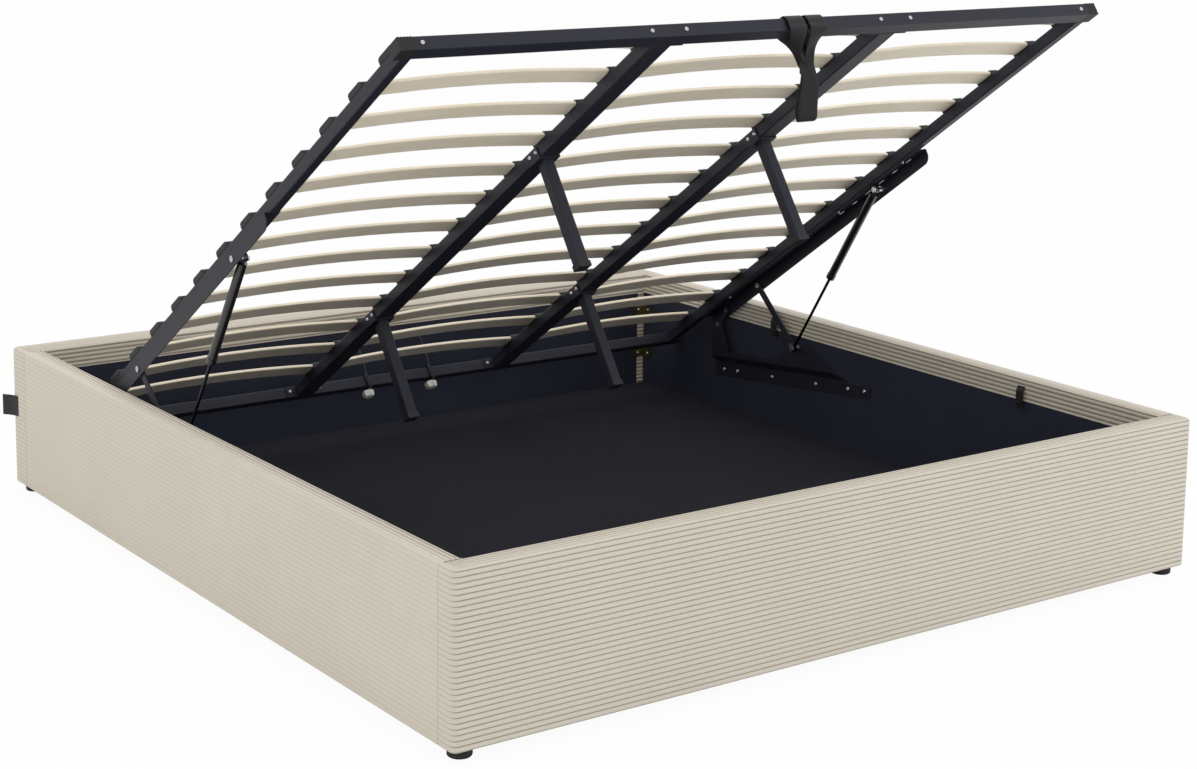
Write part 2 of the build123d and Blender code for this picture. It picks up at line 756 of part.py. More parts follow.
def make_lift_angles():
    place = raise_platform
    save("lift_angles", *[place * shape for shape in both_sides(lift_angle())])
    bolts = []
    x = side_rail_out - side_rail_w / 2
    top = -tube_h - angle_t
    for u in angle_bolt_rows:
        bolts.extend(both_sides(bolt_head((x, -u, top), (x, -u, top - frame_bolt_t), frame_bolt_r)))
    save("lift_angle_bolts", *[place * b for b in bolts])

    face = angle_out - angle_t
    inner = strut_x - eye_w / 2 - pin_ease
    pin = stub(inner - nut_t, angle_out + pin_cap_t, -strut_pin_u, -pin_drop, pin_r)
    pin += stub(angle_out, angle_out + pin_cap_t, -strut_pin_u, -pin_drop, pin_head_r)
    pin += stub(strut_x + eye_w / 2 + pin_ease, face, -strut_pin_u, -pin_drop, pin_head_r)
    pin += hexagon(inner - nut_t, inner, -strut_pin_u, -pin_drop, nut_r)
    save("strut_top_pins", *[place * p for p in both_sides(pin)])


# Gas struts
def make_struts():
    """The barrel hangs from the platform and the rod stands on the base plate."""
    top, foot = strut_pin, strut_foot
    length = hypot(top[0] - foot[0], top[1] - foot[1])
    down = Vector(0, foot[0] - top[0], foot[1] - top[1]).normalized()
    start = Vector(strut_x, *top)

    def along(distance):
        return tuple(start + down * distance)

    eye = stub(strut_x - eye_w / 2, strut_x + eye_w / 2, *top, eye_r)
    barrel_end = barrel_start + length * barrel_share
    barrel = rod_between(along(eye_r / 2), along(barrel_start + overrun), neck_r)
    barrel += rod_between(along(barrel_start), along(barrel_end), barrel_r)
    barrel += rod_between(along(barrel_end - collar_l), along(barrel_end), barrel_r + collar_extra)
    barrel = barrel + eye
    barrel -= stub(strut_x - eye_w, strut_x + eye_w, *top, pin_r + pin_ease)
    barrel -= rod_between(along(barrel_start + collar_l), along(barrel_end - collar_l), barrel_r - barrel_wall)
    barrel -= rod_between(along(barrel_end - collar_l - overrun), along(barrel_end + overrun), rod_r + pin_ease)

    piston = barrel_end - piston_in
    rod = rod_between(along(piston), along(length - eye_r / 2), rod_r)
    rod += rod_between(along(piston - piston_l), along(piston), piston_r)
    rod += rod_between(along(length - eye_r - neck_r * 2), along(length - eye_r / 2), neck_r)
    rod += stub(strut_x - eye_w / 2, strut_x + eye_w / 2, *foot, eye_r)
    rod -= stub(strut_x - eye_w, strut_x + eye_w, *foot, pin_r)

    inner = strut_x - eye_w / 2
    washer = web_in - pin_head_t - pin_ease
    pin = stub(inner - nut_t, washer, *foot, pin_r)
    pin += hexagon(inner - nut_t, inner, *foot, nut_r)
    pin += stub(strut_x + eye_w / 2, washer, *foot, pin_head_r)
    for name, shape in (("strut_barrel_", barrel), ("strut_rod_", rod), ("strut_foot_pin_", pin)):
        for side, piece in zip(("right", "left"), both_sides(shape)):
            save(name + side, piece)
    closed = [a - b for a, b in zip(lowered.at(strut_pin_u, -pin_drop), strut_foot)]
    return length, hypot(*closed), degrees(atan2(closed[1], closed[0]))


# Pull strap: webbing hitched round the front bar, hanging to a loop
def make_strap():
    ease = seat_gap
    y = (-frame_l - strap_t - ease, -frame_l + front_bar_d + strap_t + ease)
    z = (-tube_h - strap_t - ease, strap_t + ease)
    hitches = []
    for x in strap_x:
        ring = block((x - strap_w / 2, x + strap_w / 2), y, z)
        ring -= block((x - strap_w, x + strap_w), (y[0] + strap_t, y[1] - strap_t), (z[0] + strap_t, z[1] - strap_t))
        hitches.append(raise_platform * ring)
    save("strap_hitches", *hitches)

    hinge = raised.at(-y[1], z[0])
    middle = (strap_x[0] + strap_x[1]) / 2
    half = (strap_x[1] - strap_x[0] + strap_w) / 2
    top = hinge[1] - seat_gap
    low = top - strap_drop
    inside = strap_loop_r - strap_t
    turn_h = low + strap_loop_r
    loop = Pos(hinge[0], turn_h) * Circle(strap_loop_r) - Pos(hinge[0], turn_h) * Circle(inside)
    loop -= Pos(hinge[0], turn_h + strap_loop_r) * Rectangle(strap_loop_r * 2, strap_loop_r * 2)
    loop_top = top - strap_sewn
    for side in (-1, 1):
        edges = [(side * strap_loop_r, turn_h), (side * inside, turn_h), (0, loop_top),
                 (side * strap_t, loop_top)]
        points = [(hinge[0] + a, b) for a, b in edges]
        loop += make_face(Polyline(*points, points[0]))
    loop += Pos(hinge[0], (top + loop_top) / 2) * Rectangle(strap_t * 2, top - loop_top)
    strap = Pos(middle, 0, 0) * extrude(Plane.YZ * loop, half, both=True)
    half_waist, half_end = strap_waist_w / 2, strap_end_w / 2
    waist, end = top - strap_waist_drop, low - overrun
    widths = [(0, half, top + overrun), (0, half, top), (strap_aside, half_waist, waist),
              (strap_aside, half_end, low + strap_loop_r), (strap_aside, half_end, end)]
    right = [(aside + w, z) for aside, w, z in widths]
    left = [(aside - w, z) for aside, w, z in reversed(widths)]
    outline = Pos(middle, 0) * Polygon(*left, *right, align=None)
    reach = Pos(0, hinge[0], 0) * extrude(Plane.XZ * outline, strap_loop_r * 2, both=True)
    strap = strap & reach
    save("pull_strap", strap)
    return hinge


# Mattress retainer
def make_retainer():
    place = raise_platform
    low, up = -tube_h - retainer_stand - retainer_rod_r, retainer_up
    y = -rear_bar_d - retainer_stand - retainer_rod_r
    x0 = -retainer_mid - retainer_w / 2
    x1 = x0 + retainer_w
    path = FilletPolyline((x0, y, low), (x0, y, up), (x1, y, up), (x1, y, low), radius=retainer_bend_r)
    start = Plane(origin=(x0, y, low), z_dir=(0, 0, 1))
    hoop = sweep(start * Circle(retainer_rod_r), path=path)
    save("mattress_retainer", place * hoop)
    clamps, knobs = [], []
    for x in (x0, x1):
        foot = block((x - clamp_r, x + clamp_r), (y - clamp_r, 0), (low, -tube_h - seat_gap))
        foot -= rod_between((x, y, low - overrun), (x, y, up), retainer_rod_r + seat_gap / 2)
        clamps.append(place * foot)
        knob = extrude(Plane.XY * RegularPolygon(knob_r, 6), -knob_h)
        knobs.append(place * (Pos(x, -rear_bar_d / 2, low - seat_gap) * knob))
    save("retainer_clamps", *clamps)
    save("retainer_knobs", *knobs)


os.makedirs("parts", exist_ok=True)
make_box()
beam_places = make_floor()
make_feet(beam_places)
make_brackets()
make_tabs()
make_ledges()
make_frame()
make_slats()
make_legs()
make_base()
make_links()
make_lift_angles()
strut_open, strut_closed, strut_closed_turn = make_struts()
strap_hinge = make_strap()
make_retainer()


def turn(a, b):
    return degrees(atan2(b[1] - a[1], b[0] - a[0]))


swing_middle = [(a + b) / 2 for a, b in zip(raised.rear, lowered.rear)]
swing_run = [b - a for a, b in zip(raised.rear, lowered.rear)]
swing_reach = 1 / tan(radians(open_angle) / 2) / 2
print("platform turns about", (swing_middle[0] - swing_run[1] * swing_reach, swing_middle[1] + swing_run[0] * swing_reach))
print("rear pivot", rear_pivot, "rear pin", rear_pin)
print("front pivot", front_pivot, "front pin", front_pin)
print("strut foot", strut_foot, "strut pin", strut_pin)
print("rear link turn", turn(rear_pivot, rear_pin), turn(rear_pivot, lowered.at(rear_pin_u, -pin_drop)))
print("front arm turn", turn(front_pivot, front_pin), turn(front_pivot, lowered.at(front_pin_u, -pin_drop)))
print("strut turn", turn(strut_foot, strut_pin), strut_closed_turn, "length", strut_open, strut_closed)
print("strap hinge", strap_hinge)
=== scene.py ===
# %% [markdown]
# # An ottoman storage bed with its platform raised
#
# The bed is a padded box that stands on low feet. A steel platform with sprung slats lies in it as a
# lid, and two gas struts hold that lid up. The CAD model already has every solid in its true place, so
# this script loads it as a fixed frame. It then gives each steel, wood and plastic part its finish, and
# it models what CAD is poor at: the ribbed cloth, the webbing and the small worn edges.

# %% Load the frame
import json
from math import cos, degrees, exp, pi, radians, sin, sqrt

import bmesh
import bpy
from mathutils import Matrix, Vector, noise
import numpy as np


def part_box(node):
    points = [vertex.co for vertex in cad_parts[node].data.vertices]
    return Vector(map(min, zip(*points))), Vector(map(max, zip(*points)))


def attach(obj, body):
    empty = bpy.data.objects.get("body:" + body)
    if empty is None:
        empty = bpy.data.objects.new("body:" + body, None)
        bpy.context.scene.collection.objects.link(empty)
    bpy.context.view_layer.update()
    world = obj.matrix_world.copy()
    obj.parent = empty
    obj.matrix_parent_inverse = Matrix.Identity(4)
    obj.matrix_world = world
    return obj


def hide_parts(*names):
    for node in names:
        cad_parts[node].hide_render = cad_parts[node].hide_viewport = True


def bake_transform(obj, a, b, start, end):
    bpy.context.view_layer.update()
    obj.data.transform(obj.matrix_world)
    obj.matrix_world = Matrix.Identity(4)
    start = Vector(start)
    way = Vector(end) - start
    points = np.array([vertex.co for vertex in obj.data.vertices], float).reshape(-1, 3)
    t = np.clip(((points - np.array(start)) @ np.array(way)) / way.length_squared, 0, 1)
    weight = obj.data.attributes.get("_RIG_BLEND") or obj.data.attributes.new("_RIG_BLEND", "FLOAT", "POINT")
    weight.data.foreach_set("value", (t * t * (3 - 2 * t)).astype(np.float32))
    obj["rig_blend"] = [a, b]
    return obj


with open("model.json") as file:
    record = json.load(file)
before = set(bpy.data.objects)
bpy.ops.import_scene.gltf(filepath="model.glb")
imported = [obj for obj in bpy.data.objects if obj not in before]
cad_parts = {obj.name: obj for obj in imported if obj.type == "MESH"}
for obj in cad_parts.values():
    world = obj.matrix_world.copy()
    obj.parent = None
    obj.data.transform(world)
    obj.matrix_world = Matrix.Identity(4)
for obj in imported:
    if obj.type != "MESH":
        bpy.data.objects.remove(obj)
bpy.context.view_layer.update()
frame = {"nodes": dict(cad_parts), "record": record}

mm = 0.001

# %% [markdown]
# ## Camera
#
# A photograph's view is set by where the lens stood, where it pointed and how long it was. Here a person
# of average height looked down on the near left corner of the bed. The camera leans a little, under one
# degree, as hand-held cameras do. A vertical shift frames the bed without tilting its upright edges.

# %% The photograph's camera
camera_place = Vector((-3.16779, -4.53860, 1.73750))
camera_turn = 0.620182
camera_down = 0.161434
camera_roll = 0.0127871

level = cos(camera_down)
forward = Vector((sin(camera_turn) * level, cos(camera_turn) * level, -sin(camera_down)))
level_right = Vector((cos(camera_turn), -sin(camera_turn), 0))
level_up = level_right.cross(forward)
right = cos(camera_roll) * level_right + sin(camera_roll) * level_up
up = -sin(camera_roll) * level_right + cos(camera_roll) * level_up

camera = bpy.data.objects.new("camera", bpy.data.cameras.new("camera"))
bpy.context.scene.collection.objects.link(camera)
facing = Matrix((right, up, -forward)).transposed()
camera.matrix_world = Matrix.Translation(camera_place) @ facing.to_4x4()
camera.data.sensor_width = 36
camera.data.sensor_fit = "HORIZONTAL"
camera.data.lens = 68.84
camera.data.shift_y = -0.1541
bpy.context.scene.camera = camera
print("camera at", [round(v, 3) for v in camera_place])

# %% [markdown]
# ## Light, floor and background
#
# Furniture shops photograph pale cloth in an even, soft light, so that the weave shows and nothing burns
# out. The world gives most of the light, from everywhere, which also lights the slats from below. A large
# soft lamp at the right lifts the foot panel, and weaker ones stand at the left and above. The background
# is white only for the camera and for reflections, which keeps the light on the object at a plain level.

# %% World and lamps
def add_node(tree, kind, settings=None, inputs=None):
    """Adds a shader node, sets its properties, and fills its sockets with values or links."""
    node = tree.nodes.new("ShaderNode" + kind)
    for name, value in (settings or {}).items():
        setattr(node, name, value)
    for name, value in (inputs or {}).items():
        if isinstance(value, bpy.types.NodeSocket):
            tree.links.new(value, node.inputs[name])
        else:
            node.inputs[name].default_value = value
    return node


bpy.context.scene.view_settings.view_transform = "Standard"
world = bpy.data.worlds.new("studio")
bpy.context.scene.world = world
world.use_nodes = True
tree = world.node_tree
tree.nodes.clear()
ray = add_node(tree, "LightPath")
seen = add_node(tree, "Math", {"operation": "ADD"},
                {0: ray.outputs["Is Camera Ray"], 1: ray.outputs["Is Glossy Ray"]})
seen = add_node(tree, "Math", {"operation": "ADD", "use_clamp": True},
                {0: seen.outputs[0], 1: ray.outputs["Is Transmission Ray"]})
ambient_strength = 0.83
ambient = add_node(tree, "Background", None, {"Color": (1.0, 0.99, 0.97, 1), "Strength": ambient_strength})
white = add_node(tree, "Background", None, {"Color": (1, 1, 1, 1), "Strength": 1.0})
mixed = add_node(tree, "MixShader", None, {0: seen.outputs[0], 1: ambient.outputs[0], 2: white.outputs[0]})
add_node(tree, "OutputWorld", None, {"Surface": mixed.outputs[0]})

softbox_size = 2.6
bed_middle = Vector((0, 0, 0.4))
lamps = {"key": ((3.6, -4.4, 2.2), 46, (0.86, 0.93, 1.0)), "fill": ((-4.8, -1.6, 2.6), 12, (1.0, 0.93, 0.82)),
         "top": ((0.4, 0.6, 4.6), 34, (1.0, 1.0, 1.0))}
for name, (place, power, colour) in lamps.items():
    lamp = bpy.data.objects.new(name, bpy.data.lights.new(name, "AREA"))
    lamp.data.energy = power
    lamp.data.size = softbox_size
    lamp.data.color = colour
    lamp.location = place
    aim = bed_middle - Vector(place)
    lamp.rotation_euler = aim.to_track_quat("-Z", "Y").to_euler()
    bpy.context.scene.collection.objects.link(lamp)
print("lamps", sorted(lamps))

# %% Floor
def mesh_piece(name, bm, material=None, smooth=True):
    """Turns a bmesh into an object of the scene, at the origin."""
    mesh = bpy.data.meshes.new(name)
    bm.to_mesh(mesh)
    bm.free()
    piece = bpy.data.objects.new(name, mesh)
    bpy.context.scene.collection.objects.link(piece)
    if material:
        mesh.materials.append(material)
    for face in mesh.polygons:
        face.use_smooth = smooth
    return piece


floor_paint = bpy.data.materials.new("white painted floor")
floor_paint.use_nodes = True
tree = floor_paint.node_tree
matt = tree.nodes["Principled BSDF"]
matt.inputs["Base Color"].default_value = (0.9, 0.9, 0.9, 1)
matt.inputs["Roughness"].default_value = 1.0
matt.inputs["Specular IOR Level"].default_value = 0.0
ray = add_node(tree, "LightPath")
glow = add_node(tree, "Emission", None, {"Color": (1, 1, 1, 1), "Strength": 1.0})
glow_share = 0.95
share = add_node(tree, "Math", {"operation": "MULTIPLY"}, {0: ray.outputs["Is Camera Ray"], 1: glow_share})
shown = add_node(tree, "MixShader", None, {0: share.outputs[0], 1: matt.outputs[0], 2: glow.outputs[0]})
tree.links.new(shown.outputs[0], tree.nodes["Material Output"].inputs["Surface"])

floor_half = 30
bm = bmesh.new()
bmesh.ops.create_grid(bm, x_segments=1, y_segments=1, size=floor_half)
mesh_piece("floor", bm, floor_paint, smooth=False)
print("floor laid")

# %% [markdown]
# ## Finishes
#
# Each finish below is one that this bed really has. A shader starts from the finish's usual roughness
# and colour, and small patterns break it up at the size that they have on the real thing. Colours are
# written as the hex values that a colour picker shows, and one function turns them to linear light.

# %% Colours, a fresh material and the nodes that the finishes share
def linear(code):
    """The linear numbers of a #rrggbb colour, as a shader socket takes them."""
    shares = [int(code[k:k + 2], 16) / 255 for k in (1, 3, 5)]
    return [v / 12.92 if v <= 0.04045 else ((v + 0.055) / 1.055) ** 2.4 for v in shares] + [1.0]


def new_material(name, **sockets):
    """A material whose shader sockets are set to constants; underscores stand for spaces."""
    material = bpy.data.materials.new(name)
    material.use_nodes = True
    shader = material.node_tree.nodes["Principled BSDF"]
    for socket, value in sockets.items():
        shader.inputs[socket.replace("_", " ")].default_value = value
    return material, material.node_tree, shader


def marks_over(tree, scale, place=None, **sockets):
    """Noise with that many marks to the metre, over the object's own space unless a place is given."""
    if place is None:
        place = add_node(tree, "TexCoord").outputs["Object"]
    return add_node(tree, "TexNoise", None, {"Vector": place, "Scale": scale, **sockets}).outputs["Fac"]


def stored(tree, name):
    """The number of that name that the mesh stores at each vertex."""
    return add_node(tree, "Attribute", {"attribute_name": name}).outputs["Fac"]


def between(tree, share, first, second):
    """The colour that lies that share of the way between two, each a hex value or a socket."""
    first, second = [linear(end) if isinstance(end, str) else end for end in (first, second)]
    return add_node(tree, "Mix", {"data_type": "RGBA"}, {0: share, 6: first, 7: second}).outputs[2]


def spread(tree, value, low, high, first, last):
    """Turns a value from low to high into one from first to last."""
    ends = {"From Min": low, "From Max": high, "To Min": first, "To Max": last}
    return add_node(tree, "MapRange", None, {"Value": value, **ends}).outputs[0]


def finish_surface(tree, shader, colour, height, strength, depth):
    """Gives a shader its colour and its fine relief, which follows the pattern named height."""
    bump = add_node(tree, "Bump", None, {"Height": height, "Strength": strength, "Distance": depth})
    tree.links.new(colour, shader.inputs["Base Color"])
    tree.links.new(bump.outputs[0], shader.inputs["Normal"])


# %% [markdown]
# ### Wide-wale corduroy
#
# Corduroy is cotton or polyester pile in raised cords with bare ground cloth between them. The pile
# scatters light at grazing angles, which is what the shader's sheen is for. The grooves are darker because
# the pile shades them. The mesh carries that as an attribute named groove, so the colour follows the cords.

# %% Corduroy
corduroy, tree, shader = new_material("wide-wale corduroy", Roughness=0.95, Sheen_Weight=0.25,
                                      Sheen_Roughness=0.45, Specular_IOR_Level=0.12)
pile_step = 1.6 * mm
pile = marks_over(tree, 1 / pile_step, Detail=3.0, Roughness=0.65)
shade = marks_over(tree, 4.0, Detail=2.0, Roughness=0.5)
speckle = spread(tree, pile, 0.3, 0.7, 0.9, 1.06)
cords = add_node(tree, "VectorMath", {"operation": "SCALE"},
                 {0: between(tree, shade, "#DFD9CD", "#D8D1C3"), "Scale": speckle})
# The groove attribute mixes in #968C7B as painted shade in the grooves, where the pile shades them.
colour = between(tree, stored(tree, "groove"), cords.outputs[0], "#968C7B")
finish_surface(tree, shader, colour, pile, 0.35, 0.6 * mm)
print(corduroy.name)

# %% [markdown]
# ### Black powder coat
#
# Steel bed frames are sprayed with dry powder that melts to a thin, slightly dimpled skin. The dimples,
# called orange peel, are about 2 mm wide and soften the highlights.

# %% Powder coat
powder_coat, tree, shader = new_material("black powder-coated steel", Specular_IOR_Level=0.26)
peel_step = 2.0 * mm
peel = marks_over(tree, 1 / peel_step, Detail=2.0, Roughness=0.4)
dust = marks_over(tree, 9.0, Detail=5.0, Roughness=0.6)
tree.links.new(spread(tree, dust, 0, 1, 0.36, 0.5), shader.inputs["Roughness"])
finish_surface(tree, shader, between(tree, dust, "#20212A", "#2A2C37"), peel, 0.12, 0.3 * mm)
print(powder_coat.name)

# %% [markdown]
# ### Birch laminate
#
# A sprung slat is glued up from birch veneers about 1.3 mm thick, pressed over a curved former, then
# sealed. Its faces show a long faint grain, and its edges show the stack of veneers as fine lines.

# %% Birch
birch, tree, shader = new_material("bent birch laminate", Roughness=0.55, Coat_Weight=0.1, Coat_Roughness=0.5)
grain_w, grain_l = 2.5 * mm, 160 * mm
stretch = add_node(tree, "Mapping", None, {"Vector": add_node(tree, "TexCoord").outputs["Object"],
                                           "Scale": (1 / grain_l, 1 / grain_w, 1 / grain_w)})
grain = marks_over(tree, 1.0, stretch.outputs[0], Detail=4.0, Roughness=0.6, Distortion=0.4)
pale = between(tree, marks_over(tree, 5.0, Detail=1.0), "#F9F2E2", "#F3E8D0")
grained = between(tree, spread(tree, grain, 0.45, 0.75, 0.0, 0.45), pale, "#D6C19A")
veneer = 1.33 * mm
stack = add_node(tree, "Math", {"operation": "MULTIPLY_ADD"},
                 {0: stored(tree, "layer"), 1: 1 / veneer, 2: 0.5})
in_veneer = add_node(tree, "Math", {"operation": "FRACT"}, {0: stack.outputs[0]})
glue = spread(tree, in_veneer.outputs[0], 0.8, 0.9, 0.0, 0.6)
finish_surface(tree, shader, between(tree, glue, grained, "#B08F5C"), grain, 0.15, 0.3 * mm)
print(birch.name)

# %% [markdown]
# ### Lining cloth and floor cloth
#
# The box is lined with a thin black woven cloth, which looks navy where light grazes it. Its colour is a
# navy grey all over: the cloth's own dark colour with that sheen painted into it. The floor has a
# non-woven cloth. Its fibres lie in all directions, so it has a faint mottled look.

# %% Linings
lining, tree, shader = new_material("black woven lining", Roughness=0.85, Sheen_Weight=0.04,
                                    Sheen_Roughness=0.5, Specular_IOR_Level=0.15)
thread = 1.6 * mm
weave = marks_over(tree, 1 / thread, Detail=2.0)
cloud = marks_over(tree, 6.0, Detail=3.0)
# The navy grey is the black cloth's colour with painted sheen in it.
finish_surface(tree, shader, between(tree, cloud, "#303343", "#272A36"), weave, 0.2, 0.4 * mm)

floor_cloth, tree, shader = new_material("black non-woven cloth", Roughness=0.95, Specular_IOR_Level=0.05)
fibre = 3.0 * mm
mottle = marks_over(tree, 1 / fibre, Detail=4.0)
base = between(tree, marks_over(tree, 2.5, Detail=4.0), "#38383F", "#2F2F35")
finish_surface(tree, shader, between(tree, mottle, base, "#26262C"), mottle, 0.25, 0.5 * mm)
print(lining.name, floor_cloth.name)

# %% [markdown]
# ### Plain metals, plastics, rubber and board
#
# These finishes share one recipe: a base colour with a faint cloud in it, and a roughness that changes
# with the same cloud, as handling and the tool leave on any real surface. Each call states the finish's
# two colours, how big its marks are, how rough it is between two limits and how strong the marks look.

# %% Small finishes
def mottled(name, pale, deep, size, rough, strength, **sockets):
    """A finish whose colour and roughness drift between two values over marks of one size."""
    material, tree, shader = new_material(name, **sockets)
    marks = marks_over(tree, 1 / size, Detail=3.0, Roughness=0.55)
    tree.links.new(spread(tree, marks, 0, 1, *rough), shader.inputs["Roughness"])
    finish_surface(tree, shader, between(tree, marks, pale, deep), marks, strength, 0.3 * mm)
    return material


# Bright zinc is dipped and slightly cloudy; yellow zinc has a thin gold-green film over it
bright_zinc = mottled("bright zinc plate", "#D8D9DC", "#B9BBC0", 12 * mm, (0.22, 0.38), 0.05, Metallic=1.0)
yellow_zinc = mottled("yellow passivated zinc", "#C4B77E", "#4A4228", 5 * mm, (0.28, 0.42), 0.08,
                      Metallic=1.0)
# A strut's rod is polished chrome. Its colour is painted nearly black, as a painted reflection of the dark
# surroundings that it mirrors, and it keeps a fine polish
dark_painted_chrome = mottled("chrome painted dark as a reflection", "#3A3B3F", "#2E2F33", 30 * mm, (0.14, 0.24), 0.02, Metallic=1.0)
# The strut's barrel is drawn tube with a smooth stoved paint
strut_paint = mottled("gloss black stoved paint", "#17181B", "#1D1E22", 40 * mm, (0.2, 0.28), 0.03,
                      Coat_Weight=0.5, Coat_Roughness=0.1)
# Polypropylene comes out of the mould with a fine spark-eroded texture
black_plastic = mottled("moulded black polypropylene", "#1B1B1D", "#232326", 1.2 * mm, (0.5, 0.62), 0.2,
                        Specular_IOR_Level=0.4)
nylon = mottled("off-white nylon", "#F3F1EC", "#E4E1DA", 10 * mm, (0.38, 0.48), 0.06,
                Subsurface_Weight=0.1, Subsurface_Scale=2 * mm)
satin = mottled("black woven satin", "#17181A", "#212225", 1.5 * mm, (0.45, 0.6), 0.1)
rubber = mottled("black rubber", "#1A1A1A", "#222221", 3 * mm, (0.75, 0.9), 0.15)
chipboard = mottled("raw chipboard", "#C7AE86", "#A98D62", 4 * mm, (0.85, 0.95), 0.4)
softwood = mottled("planed softwood", "#D6BC8C", "#C1A06C", 18 * mm, (0.6, 0.7), 0.15)
print("small finishes made")

# %% [markdown]
# ### Polyester webbing
#
# Webbing is woven flat from thick glossy yarn, so it has fine ribs across its width and a dull shine.
# Each ribbon's mesh stores how far along and how far aside every point is, and the ribs follow that round
# the bends. The real ribs are 1.2 mm apart. They are drawn twice as coarse, so that they show.

# %% Webbing
webbing, tree, shader = new_material("black polyester webbing", Roughness=0.62, Sheen_Weight=0.12,
                                     Sheen_Roughness=0.4, Specular_IOR_Level=0.35)
rib = 2.4 * mm
wave_at_one = 2 * pi / 20  # the width of one band of the wave texture at a scale of 1
tape = add_node(tree, "CombineXYZ", None, {0: stored(tree, "along"), 1: stored(tree, "aside")}).outputs[0]
wave = add_node(tree, "TexWave", {"bands_direction": "X"},
                {"Vector": tape, "Scale": wave_at_one / rib, "Distortion": 0.6, "Detail": 1.0})
ribs = wave.outputs["Fac"]
yarn = between(tree, marks_over(tree, 1 / rib, tape, Detail=2.0), "#131315", "#222225")
# The valleys between the ribs are painted near black as painted shade; the yarn's own colour lies on the
# ribs.
finish_surface(tree, shader, between(tree, ribs, "#0E0E10", yarn), ribs, 0.5, 0.5 * mm)
print(webbing.name)

# %% [markdown]
# ## The CAD parts take their finishes
#
# Every node of the frame names a material slot in the record. One table from slot to finish dresses
# them all, so a part that keeps its CAD shape looks the same as a new piece of the same material.

# %% Dress the nodes
finish_of = {"corduroy": corduroy, "lining": lining, "floor_cloth": floor_cloth, "board": chipboard,
             "softwood": softwood, "black_plastic": black_plastic, "webbing": webbing,
             "powder_black": powder_coat, "bright_zinc": bright_zinc, "yellow_zinc": yellow_zinc,
             "birch": birch, "rubber_buffer": rubber, "strut_black": strut_paint, "strut_chrome": dark_painted_chrome,
             "knob_plastic": nylon}
slot_of = {part["node"]: part["material_slot"] for part in frame["record"]["subparts"]}
for name, node in frame["nodes"].items():
    node.data.materials.clear()
    node.data.materials.append(finish_of[slot_of[name]])
print("dressed", len(slot_of), "nodes")

# %% [markdown]
# ## The box's corduroy covers
#
# Each panel is a board with foam on it and one piece of corduroy pulled over: up the outside, round the
# top edge and down the inside to the lining. The cloth could be one flat box with a striped bump map, but
# the cords then vanish at the edges. So a fine grid is laid over the panel as cloth would be: one way
# along the panel, the other way up and over it, measured along the cloth. Every cord is real relief.

# %% The sizes of the covers, read from the frame
foot_low, foot_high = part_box("foot_panel_cover")
head_low, head_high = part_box("head_panel_cover")
side_low, side_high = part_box("right_side_cover")
panel_low, panel_top = foot_low.z, foot_high.z
lining_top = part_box("side_linings")[1].z
floor_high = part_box("storage_floor_cloth")[1].z
outer_half = foot_high.x
inner_half = side_low.x

cord_pitch = 11.4 * mm
cord_depth = 1.8 * mm
groove_share = 0.1
row_shares = (0.0, 0.05, 0.11, 0.22, 0.5, 0.78, 0.89, 0.95)
under_turn = 13 * mm
low_edge_r = 4 * mm
top_edge_r = 9 * mm
inner_edge_r = 5 * mm
seam_r = 4 * mm
corner_r = 15 * mm
edge_fade = 30 * mm
cloth_thick = 1.4 * mm
side_columns, front_columns, corner_columns = 40, 48, 10
swell_high, swell_scale = 0.35 * mm, 3.1
lining_end = max(vert.co.x for vert in frame["nodes"]["end_linings"].data.vertices if vert.co.y > 0)
print("covers from z", round(panel_low, 4), "to", round(panel_top, 4))
print("wrapped down to z", round(lining_top, 4))


# %% Up and over a panel
def over_panel(thick):
    """The cloth's way over a panel in straight runs and quarter turns, as (length, kind, radius)."""
    flat = thick - top_edge_r - inner_edge_r
    tall = panel_top - panel_low
    return [(under_turn - low_edge_r, "run", 0), (low_edge_r * pi / 2, "turn", low_edge_r),
            (tall - low_edge_r - top_edge_r, "run", 0), (top_edge_r * pi / 2, "turn", top_edge_r),
            (flat, "run", 0), (inner_edge_r * pi / 2, "turn", inner_edge_r),
            (panel_top - inner_edge_r - lining_top, "run", 0)]


def at_length(way, length):
    """The place on that way: how far in from the outer face, how high, and the way the cloth faces."""
    inward, high, heading = under_turn, panel_low, pi
    for run, kind, radius in way:
        part = min(length, run)
        if kind == "run":
            inward += part * cos(heading)
            high += part * sin(heading)
        else:
            swing = part / radius
            inward += radius * (sin(heading) - sin(heading - swing))
            high += radius * (cos(heading - swing) - cos(heading))
            heading -= swing
        length -= part
        if length <= 0:
            break
    return inward, high, (-sin(heading), cos(heading))


way = over_panel(side_high.x - side_low.x)
for k in range(len(way)):
    done = sum(run for run, kind, radius in way[:k + 1])
    print(round(done, 4), [round(v, 4) for v in at_length(way, done)[:2]])

# %% [markdown]
# The same way over the panel serves all four covers. What differs is the path of the panel in plan: a
# straight line for the sides, and a line that rounds both corners for the foot and head panels. A stop on
# that path holds its place, the way it faces, how deep the cords are there and how much painted shade
# their grooves get.

# %% Lay a grid of cloth along a path
def cord_height(length, share):
    """1 on a cord and 0 in a groove that takes that share of the pitch: a round top with steep sides."""
    phase = ((length - under_turn) / cord_pitch) % 1
    away = min(phase, 1 - phase) / share
    return 1 - exp(-away * away)


def cord_rows(first, last):
    """Lengths along the cloth from first to last, closer together at each groove."""
    start = int((first - under_turn) / cord_pitch) - 1
    count = int((last - first) / cord_pitch) + 3
    rows = [under_turn + (start + k + share) * cord_pitch for k in range(count) for share in row_shares]
    least = cord_pitch * row_shares[1] / 2
    return [first] + [row for row in rows if first + least < row < last - least] + [last]


def past_edge(inward):
    """0 on the outside of a panel, rising to 1 over its top and on its inner face."""
    return max(0, min(1, (inward - top_edge_r) / edge_fade))


def once(items):
    """Each item once, in the order in which it first comes."""
    return list(dict.fromkeys(items))


